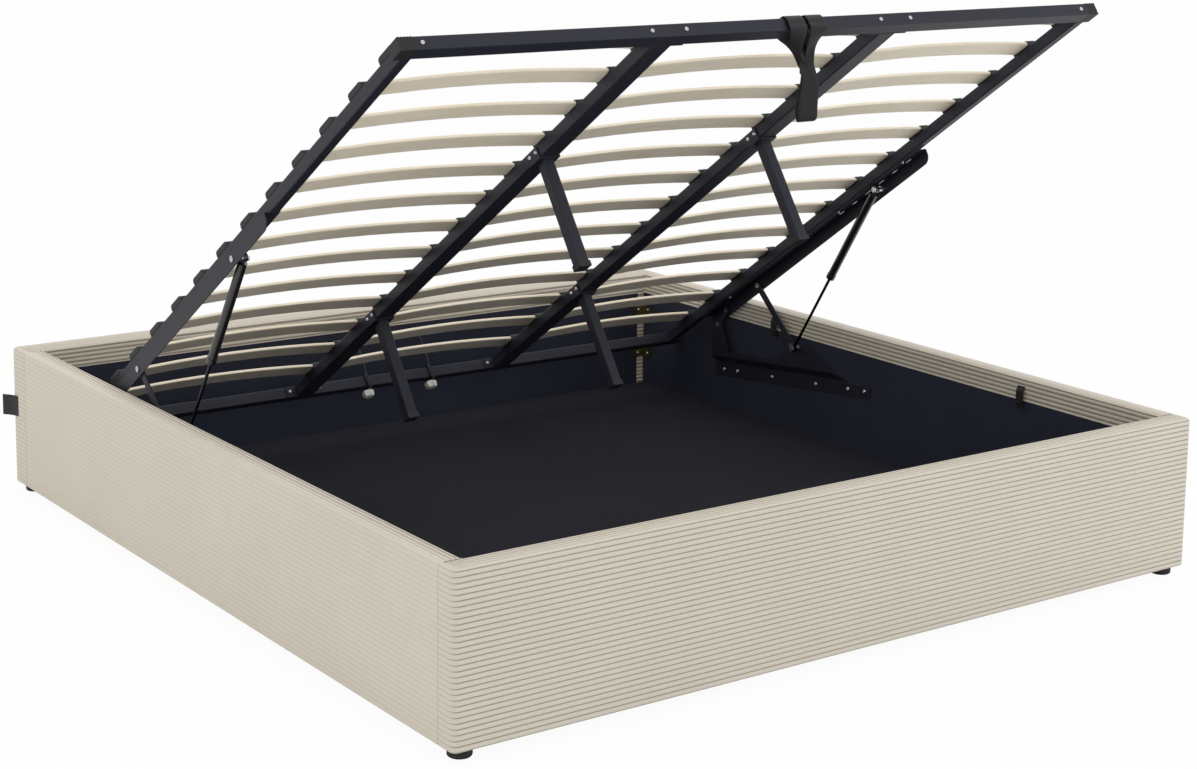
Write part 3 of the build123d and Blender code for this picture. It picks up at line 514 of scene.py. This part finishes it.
def lay_cloth(bm, stops, lengths, way, adjust=None):
    """Adds one sheet of cloth: a column for each stop, a row for each length up and over the panel."""
    made = bmesh.ops.create_grid(bm, x_segments=len(stops) - 1, y_segments=len(lengths) - 1, size=1)
    grooves = bm.verts.layers.float["groove"]
    facings = {}
    for vert in made["verts"]:
        column = round((vert.co.x + 1) / 2 * (len(stops) - 1))
        row = round((vert.co.y + 1) / 2 * (len(lengths) - 1))
        place, outward, depth, groove_shade = stops[column]
        inward, high, (toward, lift) = at_length(way, lengths[row])
        if adjust:
            depth, groove_shade = adjust(place, inward, depth, groove_shade)
        point = Vector(place).to_3d() - Vector(outward).to_3d() * inward + Vector((0, 0, high))
        facing = -Vector(outward).to_3d() * toward + Vector((0, 0, lift))
        low = 1 - cord_height(lengths[row], groove_share * (1 + past_edge(inward)))
        swell = swell_high * (1 + noise.noise(point * swell_scale))
        vert.co = point - facing * (cord_depth * depth * low + swell)
        # The groove attribute is painted shade, deepest in each groove and scaled by how much shade the stop
        # paints there.
        vert[grooves] = low * groove_shade
        facings[vert] = facing
    faces = once(face for vert in made["verts"] for face in vert.link_faces)
    bmesh.ops.recalc_face_normals(bm, faces=faces)
    bm.normal_update()
    if faces[0].normal.dot(facings[faces[0].verts[0]]) < 0:
        bmesh.ops.reverse_faces(bm, faces=faces)
    return made["verts"]


def cloth_bmesh():
    """An empty mesh with the groove layer that the corduroy reads."""
    bm = bmesh.new()
    bm.verts.layers.float.new("groove")
    return bm


def thicken(piece, name, thick, offset):
    """Gives a sheet its thickness, inwards for an offset of -1 and to both sides for 0."""
    wall = piece.modifiers.new(name, "SOLIDIFY")
    wall.thickness = thick
    wall.offset = offset


def finish_cover(name, bm, node):
    """Makes the cover an object with the cloth's thickness, which stands for the CAD cover."""
    bmesh.ops.remove_doubles(bm, verts=bm.verts, dist=0.02 * mm)
    cover = mesh_piece(name, bm, corduroy)
    thicken(cover, "cloth thickness", cloth_thick, -1)
    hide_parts(node)
    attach(cover, "box")
    print(name, len(cover.data.polygons), "faces")


def even(first, last, count):
    """Evenly spaced values, both ends among them."""
    return [first + (last - first) * k / count for k in range(count + 1)]


def seam_dip(away):
    """How far the padding rounds inwards at a butted seam, that far away from it."""
    return seam_r - sqrt(max(0, seam_r ** 2 - max(0, seam_r - away) ** 2))


# %% Side covers
# The second value is the painted shade in the sides' grooves, faint because the light grazes the sides.
side_depth, side_groove_shade = 0.3, 0.2
foot_in, head_in = side_low.y, side_high.y
total = sum(run for run, kind, radius in way)
lengths = cord_rows(0, total)
near_seam = [seam_r * (1 - cos(share * pi / 2)) for share in even(0, 1, 5)]
places = [foot_in + d for d in near_seam] + even(foot_in + seam_r, head_in - seam_r, side_columns)[1:-1]
places += [head_in - d for d in reversed(near_seam)]


def bolder_inside(place, inward, depth, groove_shade):
    """The cords of the sides open up where the cloth bends over the top, so they stand deeper from there on,
    and their grooves get the full painted shade there.
    """
    return depth + (1 - depth) * past_edge(inward), groove_shade + (1 - groove_shade) * past_edge(inward)


for side, sign in (("left", -1), ("right", 1)):
    bm = cloth_bmesh()
    stops = []
    for y in places:
        dip = seam_dip(min(y - foot_in, head_in - y))
        stops.append(((sign * (outer_half - dip), y), (sign, 0), side_depth, side_groove_shade))
    lay_cloth(bm, stops, lengths, way, bolder_inside)
    finish_cover("corduroy_" + side, bm, side + "_side_cover")


# %% Foot and head covers
# Each dark value is painted shade in the grooves: strong on the front, where light leaves shade under each
# cord, faint on the end strips, which the light grazes, and strongest in the bare strips inside the head
# panel.
end_depth, front_groove_shade, corner_groove_shade, strip_depth, strip_groove_shade = 1.0, 0.9, 1.0, 0.4, 0.4
bare_depth, bare_groove_shade = 1.5, 1.4
flat_half = outer_half - corner_r
corner_fade = 0.12
tip_fade = 8 * mm


def front_places(half):
    """Places across a panel, closer together near its ends."""
    return [half * sin(share * pi / 2) for share in even(-1, 1, front_columns)]


def round_the_ends(outer_y, inner_y):
    """Stops along the outside of an end panel: up one end, round the corner, across, and back."""
    sense = 1 if inner_y > outer_y else -1
    thick = abs(inner_y - outer_y)
    left = []
    for d in [thick - v for v in near_seam] + even(thick - seam_r, corner_r, 6)[1:]:
        place = (-outer_half + seam_dip(thick - d), outer_y + sense * d)
        left.append((place, (-1, 0), strip_depth, strip_groove_shade))
    for share in even(0, 1, corner_columns)[1:-1]:
        a = pi + share * pi / 2
        place = (-flat_half + corner_r * cos(a), outer_y + sense * (corner_r + corner_r * sin(a)))
        left.append((place, (cos(a), sense * sin(a)), strip_depth + (end_depth - strip_depth) * share,
                     strip_groove_shade + (corner_groove_shade - strip_groove_shade) * share))
    middle = []
    for x in front_places(flat_half):
        fade = min(1, (flat_half - abs(x)) / corner_fade)
        middle.append(((x, outer_y), (0, -sense), end_depth, corner_groove_shade + (front_groove_shade - corner_groove_shade) * fade))
    back = [((-x, y), (-nx, ny), depth, groove_shade) for (x, y), (nx, ny), depth, groove_shade in reversed(left)]
    return left + middle + back


def end_cover(name, node, outer_y, inner_y, bare=0):
    """Covers an end panel in two sheets: its outside with both corners, and its top with the inner face.

    Where bare is a width, strips that wide go on down to the floor at both ends of the inner face.
    """
    sense = 1 if inner_y > outer_y else -1
    way = over_panel(abs(inner_y - outer_y))
    rounded = sum(run for run, kind, radius in way[:4])
    total = sum(run for run, kind, radius in way)
    bm = cloth_bmesh()

    def flatten_at_ends(place, inward, depth, groove_shade):
        """Keeps the cords across the front, and fades them over the top edge of the corners and ends."""
        on_front = abs(place[0]) <= flat_half
        near_top = max(0, min(1, (top_edge_r - inward) / top_edge_r))
        return (depth, groove_shade) if on_front else (depth * near_top, groove_shade * near_top)

    lay_cloth(bm, round_the_ends(outer_y, inner_y), cord_rows(0, rounded), way, flatten_at_ends)

    tip = outer_half - top_edge_r
    small_r = corner_r - top_edge_r
    ends = [flat_half + small_r * share for share in even(0, 1, 5)[1:]]
    stops = []
    for x in [-x for x in reversed(ends)] + front_places(flat_half) + ends:
        press = min(1, (tip - abs(x)) / tip_fade)
        stops.append(((x, outer_y), (0, -sense), end_depth * press, front_groove_shade * press))
    top = lay_cloth(bm, stops, cord_rows(rounded, total), way)
    for vert in top:
        a = (abs(vert.co.x) - flat_half) / small_r
        b = (corner_r - abs(vert.co.y - outer_y)) / small_r
        if a > 0 and b > 0:
            x = flat_half + small_r * a * sqrt(1 - b * b / 2)
            vert.co.x = x if vert.co.x > 0 else -x
            vert.co.y = outer_y + sense * (corner_r - small_r * b * sqrt(1 - a * a / 2))

    if bare:
        longer = way[:-1] + [(way[-1][0] + lining_top - floor_high, "run", 0)]
        down = cord_rows(total, total + lining_top - floor_high)
        for low, high in ((-inner_half, bare - inner_half), (inner_half - bare, inner_half)):
            strip = [((x, outer_y), (0, -sense), bare_depth, bare_groove_shade) for x in even(low, high, 6)]
            lay_cloth(bm, strip, down, longer)
    finish_cover(name, bm, node)


end_cover("corduroy_foot", "foot_panel_cover", foot_low.y, foot_high.y)
end_cover("corduroy_head", "head_panel_cover", head_high.y, head_low.y, inner_half - lining_end)

# %% [markdown]
# ## The platform's own directions
#
# The platform lies at a slope, so "along the rails" and "square to the slats" aren't the Y and Z of the
# room. Three unit vectors describe it: across the bed, up the slope to the front bar, and out of the top
# of the slats. The slope is the range of the lift's hinge, because the bed is drawn with its lid raised.

# %% The three directions
lift = frame["record"]["behaviour"]["joints"][0]
slope = radians(lift["range_deg"][1])
across = Vector((1, 0, 0))
up_slope = Vector((0, -cos(slope), sin(slope)))
off_slats = Vector((0, sin(slope), cos(slope)))
low_edge = Vector((0, 0.844, 0.224))  # the top of the rear bar's back, in the middle of the bed
print("the platform slopes", round(degrees(slope), 2), "degrees")

# %% [markdown]
# ## Rounded edges on plates, plastic and slats
#
# CAD edges are perfectly sharp, but a pressed plate, a moulded clip and a sanded slat all have small
# rounded edges, and those are what catches the light. Each CAD part here is copied and its loose
# triangles are joined up. Its flat areas are dissolved into whole faces, and then its sharp edges are
# bevelled. The copy stands for the CAD part, so the shape and the place stay as they were.

# %% Copy a CAD part and round its edges
def joined_copy(node):
    """The CAD part's mesh with its triangles joined up and its flat areas made whole faces."""
    bm = bmesh.new()
    bm.from_mesh(frame["nodes"][node].data)
    bmesh.ops.remove_doubles(bm, verts=bm.verts, dist=0.01 * mm)
    bmesh.ops.dissolve_limit(bm, angle_limit=radians(1), verts=bm.verts, edges=bm.edges)
    bm.normal_update()
    return bm


def bevel(bm, edges, radius, steps):
    """Rounds the given edges of a mesh."""
    return bmesh.ops.bevel(bm, geom=edges, offset=radius, offset_type="OFFSET", segments=steps, profile=0.5,
                           affect="EDGES", clamp_overlap=True, material=-1)


def round_edges(bm, radius, steps):
    """Bevels every edge that turns by more than 35 degrees."""
    sharp = [edge for edge in bm.edges if edge.is_manifold and edge.calc_face_angle() > radians(35)]
    bevel(bm, sharp, radius, steps)


def stand_for(piece, node):
    """The piece stands in for a CAD node: the node is hidden, and the piece rides with its body and is shaded
    evenly.
    """
    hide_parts(node)
    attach(piece, body_of[node])
    even_out = piece.modifiers.new("even shading", "WEIGHTED_NORMAL")
    even_out.keep_sharp = True
    return piece


body_of = {node: body for body, nodes in frame["record"]["behaviour"]["bodies"].items() for node in nodes}
edge_radii = {"base_plates": 0.6, "lift_angles": 0.6, "mid_rail_end_plates": 0.5, "leg_saddles": 0.6,
              "rest_ledges": 0.5, "rear_link_right": 0.8, "rear_link_left": 0.8, "front_arm_right": 0.8,
              "front_arm_left": 0.8, "corner_connectors": 1.5, "outer_slat_holders": 1.2,
              "middle_slat_holders": 1.2, "corner_feet": 1.6, "centre_feet": 1.6, "leg_feet": 1.4,
              "corner_brackets": 0.4, "rest_buffers": 1.0, "strut_barrel_right": 0.7,
              "strut_barrel_left": 0.7}
for node, radius in edge_radii.items():
    bm = joined_copy(node)
    round_edges(bm, radius * mm, 2)
    piece = stand_for(mesh_piece("rounded_" + node, bm, finish_of[slot_of[node]]), node)
    print(piece.name, len(piece.data.polygons), "faces")

# %% [markdown]
# ## Sprung slats
#
# A slat is a stack of veneers, and its rounded edges show each layer. The colour has to know how deep in
# the stack a point lies, so every vertex gets that depth as an attribute named layer. It is measured
# square to the slat, from an arc through its underside, so the lines of glue follow the bow.

# %% Slats with their layers
slat_low, slat_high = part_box("centre_slats")
slat_half = (slat_high.x - slat_low.x) / 2
slat_edge_r = 2.4 * mm
near_end = slat_half * 0.99


def corners_of(group):
    """The low and the high corner of the box round some vertices."""
    return [[pick(vert.co[k] for vert in group) for k in range(3)] for pick in (min, max)]


def middle_of(group):
    """The centre of that box."""
    low, high = corners_of(group)
    return Vector([(low[k] + high[k]) / 2 for k in range(3)])


def pieces_of(bm):
    """The vertices of each separate piece in a mesh."""
    seen, groups = set(), []
    for first in bm.verts:
        if first in seen:
            continue
        seen.add(first)
        group, waiting = [], [first]
        while waiting:
            vert = waiting.pop()
            group.append(vert)
            for other in [edge.other_vert(vert) for edge in vert.link_edges]:
                if other not in seen:
                    seen.add(other)
                    waiting.append(other)
        groups.append(group)
    return groups


def lay_slats(node):
    """Rounds the slats of a node and notes how deep each vertex lies in its stack of veneers."""
    bm = joined_copy(node)
    heights = []
    for group in pieces_of(bm):
        centre_x = middle_of(group).x
        levels = [(abs(vert.co.x - centre_x), (vert.co - low_edge).dot(off_slats)) for vert in group]
        end = min(level for away, level in levels)
        thick = min(level for away, level in levels if away > near_end and level > end + 1 * mm) - end
        top = max(level for away, level in levels)
        heights.append((end, thick, top - end - thick))
    end, thick, bow = heights[0]
    round_edges(bm, slat_edge_r, 3)
    layer = bm.verts.layers.float.new("layer")
    for group in pieces_of(bm):
        centre_x = middle_of(group).x
        for vert in group:
            share = (vert.co.x - centre_x) / slat_half
            vert[layer] = (vert.co - low_edge).dot(off_slats) - end - bow * (1 - share ** 2)
    piece = stand_for(mesh_piece("sanded_" + node, bm, birch), node)
    print(piece.name, len(piece.data.polygons), "faces, thick", round(thick, 4), "bow", round(bow, 4))


lay_slats("centre_slats")
lay_slats("side_slats")

# %% [markdown]
# ## Button-head bolts
#
# Bed frames go together with domed machine screws that have a hexagon socket, and the bright domes are
# what shows. One head is a stack of rings: the ring on the seat, four rings of its rim and dome, the
# hexagon at the mouth of the socket and a slightly smaller one at its floor. Bands of faces join the
# rings. So a head is one skin, open only at its hidden seat, and its socket is a real hollow.

# %% One bolt head
hexagon_inner = cos(pi / 6)


def ring_points(count, radius, high, hexagonal):
    """Places round one ring of the head, in the head's own axes; a hexagonal ring has straight sides."""
    points = []
    for k in range(count):
        a = 2 * pi * k / count
        reach = radius * hexagon_inner / cos(a % (pi / 3) - pi / 6) if hexagonal else radius
        points.append(Vector((reach * cos(a), reach * sin(a), high)))
    return points


def add_head(bm, seat, out, radius, tall, count):
    """Adds a button head that sits on a point and faces out."""
    turn = out.to_track_quat("Z", "Y").to_matrix()
    rings = [(1.0, 0.0, False), (1.0, 0.22, False), (0.86, 0.66, False), (0.66, 0.92, False),
             (0.5, 1.0, False), (0.42, 1.0, True), (0.4, 0.42, True)]
    loops = [[bm.verts.new(seat + turn @ spot)
              for spot in ring_points(count, radius * share, tall * rise, hexagonal)]
             for share, rise, hexagonal in rings]
    for low, high in zip(loops, loops[1:]):
        for k in range(count):
            bm.faces.new((low[k - 1], low[k], high[k], high[k - 1]))
    bm.faces.new(loops[-1])


head_sides = {"frame_bolts": 24, "lift_angle_bolts": 24, "base_plate_bolts": 24, "leg_bolts": 24,
              "corner_bracket_screws": 12}
leg_half = 14 * mm
dome_share = 0.85
mid_rail_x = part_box("leg_tubes")[1].x - leg_half


def outward(node, spot, group):
    """The way a head on that node faces, at a place on the bed."""
    side = 1 if spot.x > 0 else -1
    if node == "corner_bracket_screws":
        low, high = corners_of(group)
        flat_in_x = high[0] - low[0] < high[1] - low[1]
        return -side * across if flat_in_x else Vector((0, -1 if spot.y > 0 else 1, 0))
    ways = {"frame_bolts": up_slope, "lift_angle_bolts": -off_slats, "base_plate_bolts": -side * across,
            "leg_bolts": side * across * (1 if abs(spot.x) > mid_rail_x else -1)}
    return ways[node]


def reach_of(group, spot, out):
    """How far some vertices reach along a direction, least and most, and how far square to it."""
    offsets = [vert.co - spot for vert in group]
    parts = [offset.dot(out) for offset in offsets]
    wide = max((offset - out * part).length for offset, part in zip(offsets, parts))
    return min(parts), max(parts), wide


for node, count in head_sides.items():
    source = joined_copy(node)
    bm = bmesh.new()
    for group in pieces_of(source):
        spot = middle_of(group)
        out = outward(node, spot, group)
        least, most, wide = reach_of(group, spot, out)
        add_head(bm, spot + out * least, out, wide * hexagon_inner, (most - least) * dome_share, count)
    source.free()
    bmesh.ops.recalc_face_normals(bm, faces=bm.faces)
    heads = stand_for(mesh_piece("button_" + node, bm, bright_zinc), node)
    print(heads.name, len(heads.data.polygons), "faces")

# %% [markdown]
# ## The pull strap
#
# The strap is one length of webbing. Its two bands go round the front bar, gather below it and run on as
# a sewn tail with a hand loop. A ribbon has a line of stops, and each stop says where the middle of the
# webbing is and which way half its width points. A smooth curve through the stops bends and twists the
# ribbon as stiff webbing does. The ribbon also stores how far along and aside each point is, for the ribs.

# %% A ribbon of webbing
def curve_through(stops, t):
    """A smooth place between stops, by their Catmull-Rom curve; works for vectors."""
    k = min(int(t), len(stops) - 2)
    a, b, c, d = (stops[max(0, min(len(stops) - 1, k + step))] for step in (-1, 0, 1, 2))
    t -= k
    bend = (2 * a - 5 * b + 4 * c - d) * t ** 2
    return 0.5 * (2 * b + (c - a) * t + bend + (3 * b - a - 3 * c + d) * t ** 3)


def add_ribbon(bm, stops, steps=7, wide_steps=6):
    """Adds webbing through stops; each stop is its middle and half its width, both vectors."""
    columns = (len(stops) - 1) * steps
    made = bmesh.ops.create_grid(bm, x_segments=columns, y_segments=wide_steps, size=1)
    along = bm.verts.layers.float["along"]
    aside = bm.verts.layers.float["aside"]
    middles = [curve_through([middle for middle, half in stops], k / steps) for k in range(columns + 1)]
    halves = [curve_through([half for middle, half in stops], k / steps) for k in range(columns + 1)]
    lengths = [0.0]
    for first, second in zip(middles, middles[1:]):
        lengths.append(lengths[-1] + (second - first).length)
    for vert in made["verts"]:
        column, share = round((vert.co.x + 1) / 2 * columns), vert.co.y
        vert[along] = lengths[column]
        vert[aside] = share * halves[column].length
        vert.co = middles[column] + halves[column] * share


def webbing_bmesh():
    """An empty mesh with the two layers that the webbing's finish reads."""
    bm = bmesh.new()
    bm.verts.layers.float.new("along")
    bm.verts.layers.float.new("aside")
    return bm


def finish_webbing(name, bm, thick):
    """Makes the ribbon an object with the thickness of webbing and soft edges."""
    bmesh.ops.recalc_face_normals(bm, faces=bm.faces)
    piece = mesh_piece(name, bm, webbing)
    thicken(piece, "webbing thickness", thick, 0)
    edge = piece.modifiers.new("woven edge", "BEVEL")
    edge.width = thick * 0.3
    edge.segments = 2
    print(name, len(piece.data.polygons), "faces")
    return piece


# %% Bands round the front bar
bar_deep, bar_tall, bar_up = 40 * mm, 30 * mm, 1.97
webbing_thick = 2.2 * mm
off_bar = 2.2 * mm
strap_low, strap_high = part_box("pull_strap")
hang_y = (strap_low.y + strap_high.y) / 2
band_half = 23 * mm
tail_x = 79 * mm
bands_out = 6 * mm


def on_platform(x, u, n):
    """A place given across the bed, up its slope and off its slats."""
    return low_edge + across * x + up_slope * u + off_slats * n


def band(x, sense):
    """Stops of one band: from the tail, up behind the bar, over it, down its front and back to the tail."""
    full, far = across * band_half, bar_up - bar_deep
    gather = Vector((0.72, -0.2, 0.66 * sense)).normalized() * band_half * 0.62
    joint = Vector((tail_x + bands_out * sense, hang_y, strap_high.z))
    return [(joint + Vector((0, 2.5 * mm, -62 * mm)), across * band_half * 0.5),
            (joint + Vector(((x - tail_x) * 0.45, 3 * mm, -30 * mm)), gather),
            (on_platform(x, far - off_bar, -bar_tall), full * 0.95),
            (on_platform(x, far - off_bar * 1.4, -bar_tall * 0.4), full),
            (on_platform(x, far + off_bar, off_bar * 1.5), full),
            (on_platform(x, (far + bar_up) / 2, off_bar * 2.6), full),
            (on_platform(x, bar_up - off_bar, off_bar * 2.0), full),
            (on_platform(x, bar_up + off_bar * 2.4, -bar_tall * 0.2), full),
            (on_platform(x, bar_up + off_bar * 2.8, -bar_tall * 0.6), full),
            (on_platform(x, bar_up + off_bar * 1.5, -bar_tall - 4 * mm), full),
            (joint + Vector(((x - tail_x) * 0.6, -9 * mm, -18 * mm)), gather * 1.3),
            (joint + Vector(((x - tail_x) * 0.15, -4 * mm, -44 * mm)), gather),
            (joint + Vector((0, -3 * mm, -74 * mm)), across * band_half * 0.6)]


for name, x, sense in (("left", 22 * mm, -1), ("right", 78 * mm, 1)):
    bm = webbing_bmesh()
    add_ribbon(bm, band(x, sense))
    piece = finish_webbing("strap_band_" + name, bm, webbing_thick)
    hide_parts("strap_hitches")
    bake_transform(piece, "platform", "pull_strap", start=(tail_x, hang_y, strap_high.z),
             end=(tail_x, hang_y, strap_high.z - 45 * mm))

# %% The tail and its hand loop
# The webbing goes down, round the loop's end and up again, so most stops come in a front and a back pair.
sewn_low = strap_high.z - 62 * mm
loop_out = (strap_high.y - strap_low.y) / 2 - webbing_thick
waist, end = across * 18 * mm, across * 21.5 * mm
twist = Vector((0, 5 * mm, 0))
lean = 6 * mm
pairs = [(tail_x - 3 * mm, 1.4 * mm, strap_high.z - 46 * mm, waist, 0),
         (tail_x + lean * 0.6, 1.6 * mm, sewn_low, waist, 0.4),
         (tail_x + lean, loop_out * 0.62, sewn_low - 34 * mm, (waist + end) / 2, 1),
         (tail_x, loop_out * 0.96, strap_low.z + 34 * mm, end, 1),
         (tail_x, loop_out * 0.8, strap_low.z + 9 * mm, end, 1)]
tail = [(Vector((tail_x - 10 * mm, hang_y - 2 * mm, strap_high.z - 14 * mm)), waist * 0.8)]
tail += [(Vector((x, hang_y - out, z)), half - twist * turn) for x, out, z, half, turn in pairs]
tail += [(Vector((tail_x, hang_y, strap_low.z + 1.4 * mm)), end)]
tail += [(Vector((x, hang_y + out, z)), half + twist * turn) for x, out, z, half, turn in reversed(pairs)]
bm = webbing_bmesh()
add_ribbon(bm, tail)
piece = finish_webbing("strap_tail", bm, webbing_thick)
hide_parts("pull_strap")
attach(piece, "pull_strap")

# %% [markdown]
# ## Webbing tabs on the side walls
#
# Each tab is a short loop of the same webbing, sewn to the wall at both ends so that a strap can pass
# through. It bows off the wall, and its ends lie flat.

# %% Wall tabs
tab_lower, tab_higher, tab_thick = 3 * mm, 9 * mm, 1.8 * mm
source = joined_copy("webbing_tabs")
bm = webbing_bmesh()
for group in pieces_of(source):
    spot = middle_of(group)
    low, high = corners_of(group)
    off_wall = -across if spot.x > 0 else across
    wall_x = high[0] if spot.x > 0 else low[0]
    bulge = (high[0] - low[0]) - webbing_thick / 2
    half = Vector((0, (high[1] - low[1]) / 2, 0))
    start = low[2] - tab_lower
    tall = high[2] + tab_higher - start
    flat, proud = off_wall * webbing_thick * 0.6, off_wall * bulge
    places = [(0.0, flat), (0.1, flat), (0.3, proud * 0.85), (0.55, proud), (0.8, proud * 0.9), (0.94, flat),
              (1.0, flat)]
    stops = [(Vector((wall_x, spot.y, start + tall * share)) + off, half) for share, off in places]
    add_ribbon(bm, stops)
source.free()
piece = finish_webbing("wall_tabs", bm, tab_thick)
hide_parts("webbing_tabs")
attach(piece, "box")

# %% [markdown]
# ## The bare label
#
# A small black tab is sewn to the left end of the head panel, next to the back corner. It is a folded
# strip of satin that carries nothing. It curls away from the cloth towards the back, and its front edge
# is pinked, which keeps it from fraying.

# %% Label
label_long, label_tall, label_high = 46 * mm, 54 * mm, 0.229
label_start = head_high.y - 37 * mm
label_proud, label_flare, label_thick = 0.9 * mm, 23 * mm, 1.2 * mm
teeth, notch_deep = 10, 1.4 * mm
bm = bmesh.new()
bmesh.ops.create_grid(bm, x_segments=16, y_segments=teeth * 2, size=0.5)
for vert in bm.verts:
    along, rise = vert.co.x + 0.5, vert.co.y
    row = round((rise + 0.5) * teeth * 2)
    notch = notch_deep if row % 2 and along < 0.01 else 0
    off_cloth = label_proud + label_flare * along ** 2
    vert.co = Vector((-outer_half - off_cloth, label_start + along * label_long + notch,
                      label_high + rise * label_tall))
bmesh.ops.recalc_face_normals(bm, faces=bm.faces)
label = mesh_piece("bare_label", bm, satin)
thicken(label, "folded cloth", label_thick, 0)
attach(label, "box")
print("label", [round(v, 3) for v in label.data.vertices[0].co])

# %% [markdown]
# ## The mattress retainer
#
# A wire hoop at the low end keeps the mattress from sliding down when the lid is up. A bent hook goes over
# the rear bar at each of its feet, and a large pale nut pulls it tight from below. The hooks are rods
# along a smooth curve. The nuts are moulded, so they are cut from a cone with six sides, with a wide
# bevel that gives their facets.

# %% Hooks and nuts
rear_deep = 30 * mm
hook_r = 3.4 * mm
nut_low_share, nut_high_share, nut_rim = 0.94, 1.12, 0.16
nut_edge = 0.4 * mm


def add_hook(name, x):
    """A bent rod from the nut, up the front of the rear bar and over its top."""
    line = bpy.data.curves.new(name, "CURVE")
    line.dimensions = "3D"
    line.bevel_depth = hook_r
    line.bevel_resolution = 3
    line.resolution_u = 6
    line.use_fill_caps = True
    under, over, proud = -bar_tall - 9 * mm, hook_r + 1 * mm, rear_deep + hook_r + 1.2 * mm
    route = [(rear_deep * 0.5, under), (rear_deep * 0.8, under), (proud, -bar_tall),
             (proud, -bar_tall * 0.4), (proud - 1 * mm, 3 * mm), (rear_deep * 0.7, over),
             (rear_deep * 0.2, over)]
    spline = line.splines.new("NURBS")
    spline.points.add(len(route) - 1)
    for point, (u, n) in zip(spline.points, route):
        point.co = (*on_platform(x, u, n), 1)
    spline.order_u = 3
    spline.use_endpoint_u = True
    shape = bpy.data.objects.new(name + "_line", line)
    rod = bpy.data.objects.new(name, bpy.data.meshes.new_from_object(shape))
    bpy.data.objects.remove(shape)
    bpy.context.scene.collection.objects.link(rod)
    rod.data.materials.append(strut_paint)
    for face in rod.data.polygons:
        face.use_smooth = True
    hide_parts("retainer_clamps")
    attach(rod, "platform")


nuts = bmesh.new()
source = joined_copy("retainer_knobs")
turn = off_slats.to_track_quat("Z", "Y").to_matrix()
for k, group in enumerate(pieces_of(source)):
    spot = middle_of(group)
    add_hook("retainer_hook_" + str(k + 1), spot.x)
    least, most, wide = reach_of(group, spot, off_slats)
    tall = most - least
    made = bmesh.ops.create_cone(nuts, cap_ends=True, segments=6, radius1=wide * nut_low_share,
                                 radius2=wide * nut_high_share, depth=tall)
    sides = once(face for vert in made["verts"] for face in vert.link_faces)
    rims = once(edge for face in sides if len(face.verts) == 6 for edge in face.edges)
    grown = bevel(nuts, rims, tall * nut_rim, 1)
    for vert in once(vert for vert in [*made["verts"], *grown["verts"]] if vert.is_valid):
        vert.co = spot + turn @ vert.co
source.free()
bevel(nuts, list(nuts.edges), nut_edge, 2)
bmesh.ops.recalc_face_normals(nuts, faces=nuts.faces)
piece = stand_for(mesh_piece("retainer_nuts", nuts, nylon), "retainer_knobs")
print("nuts", len(piece.data.polygons), "faces")
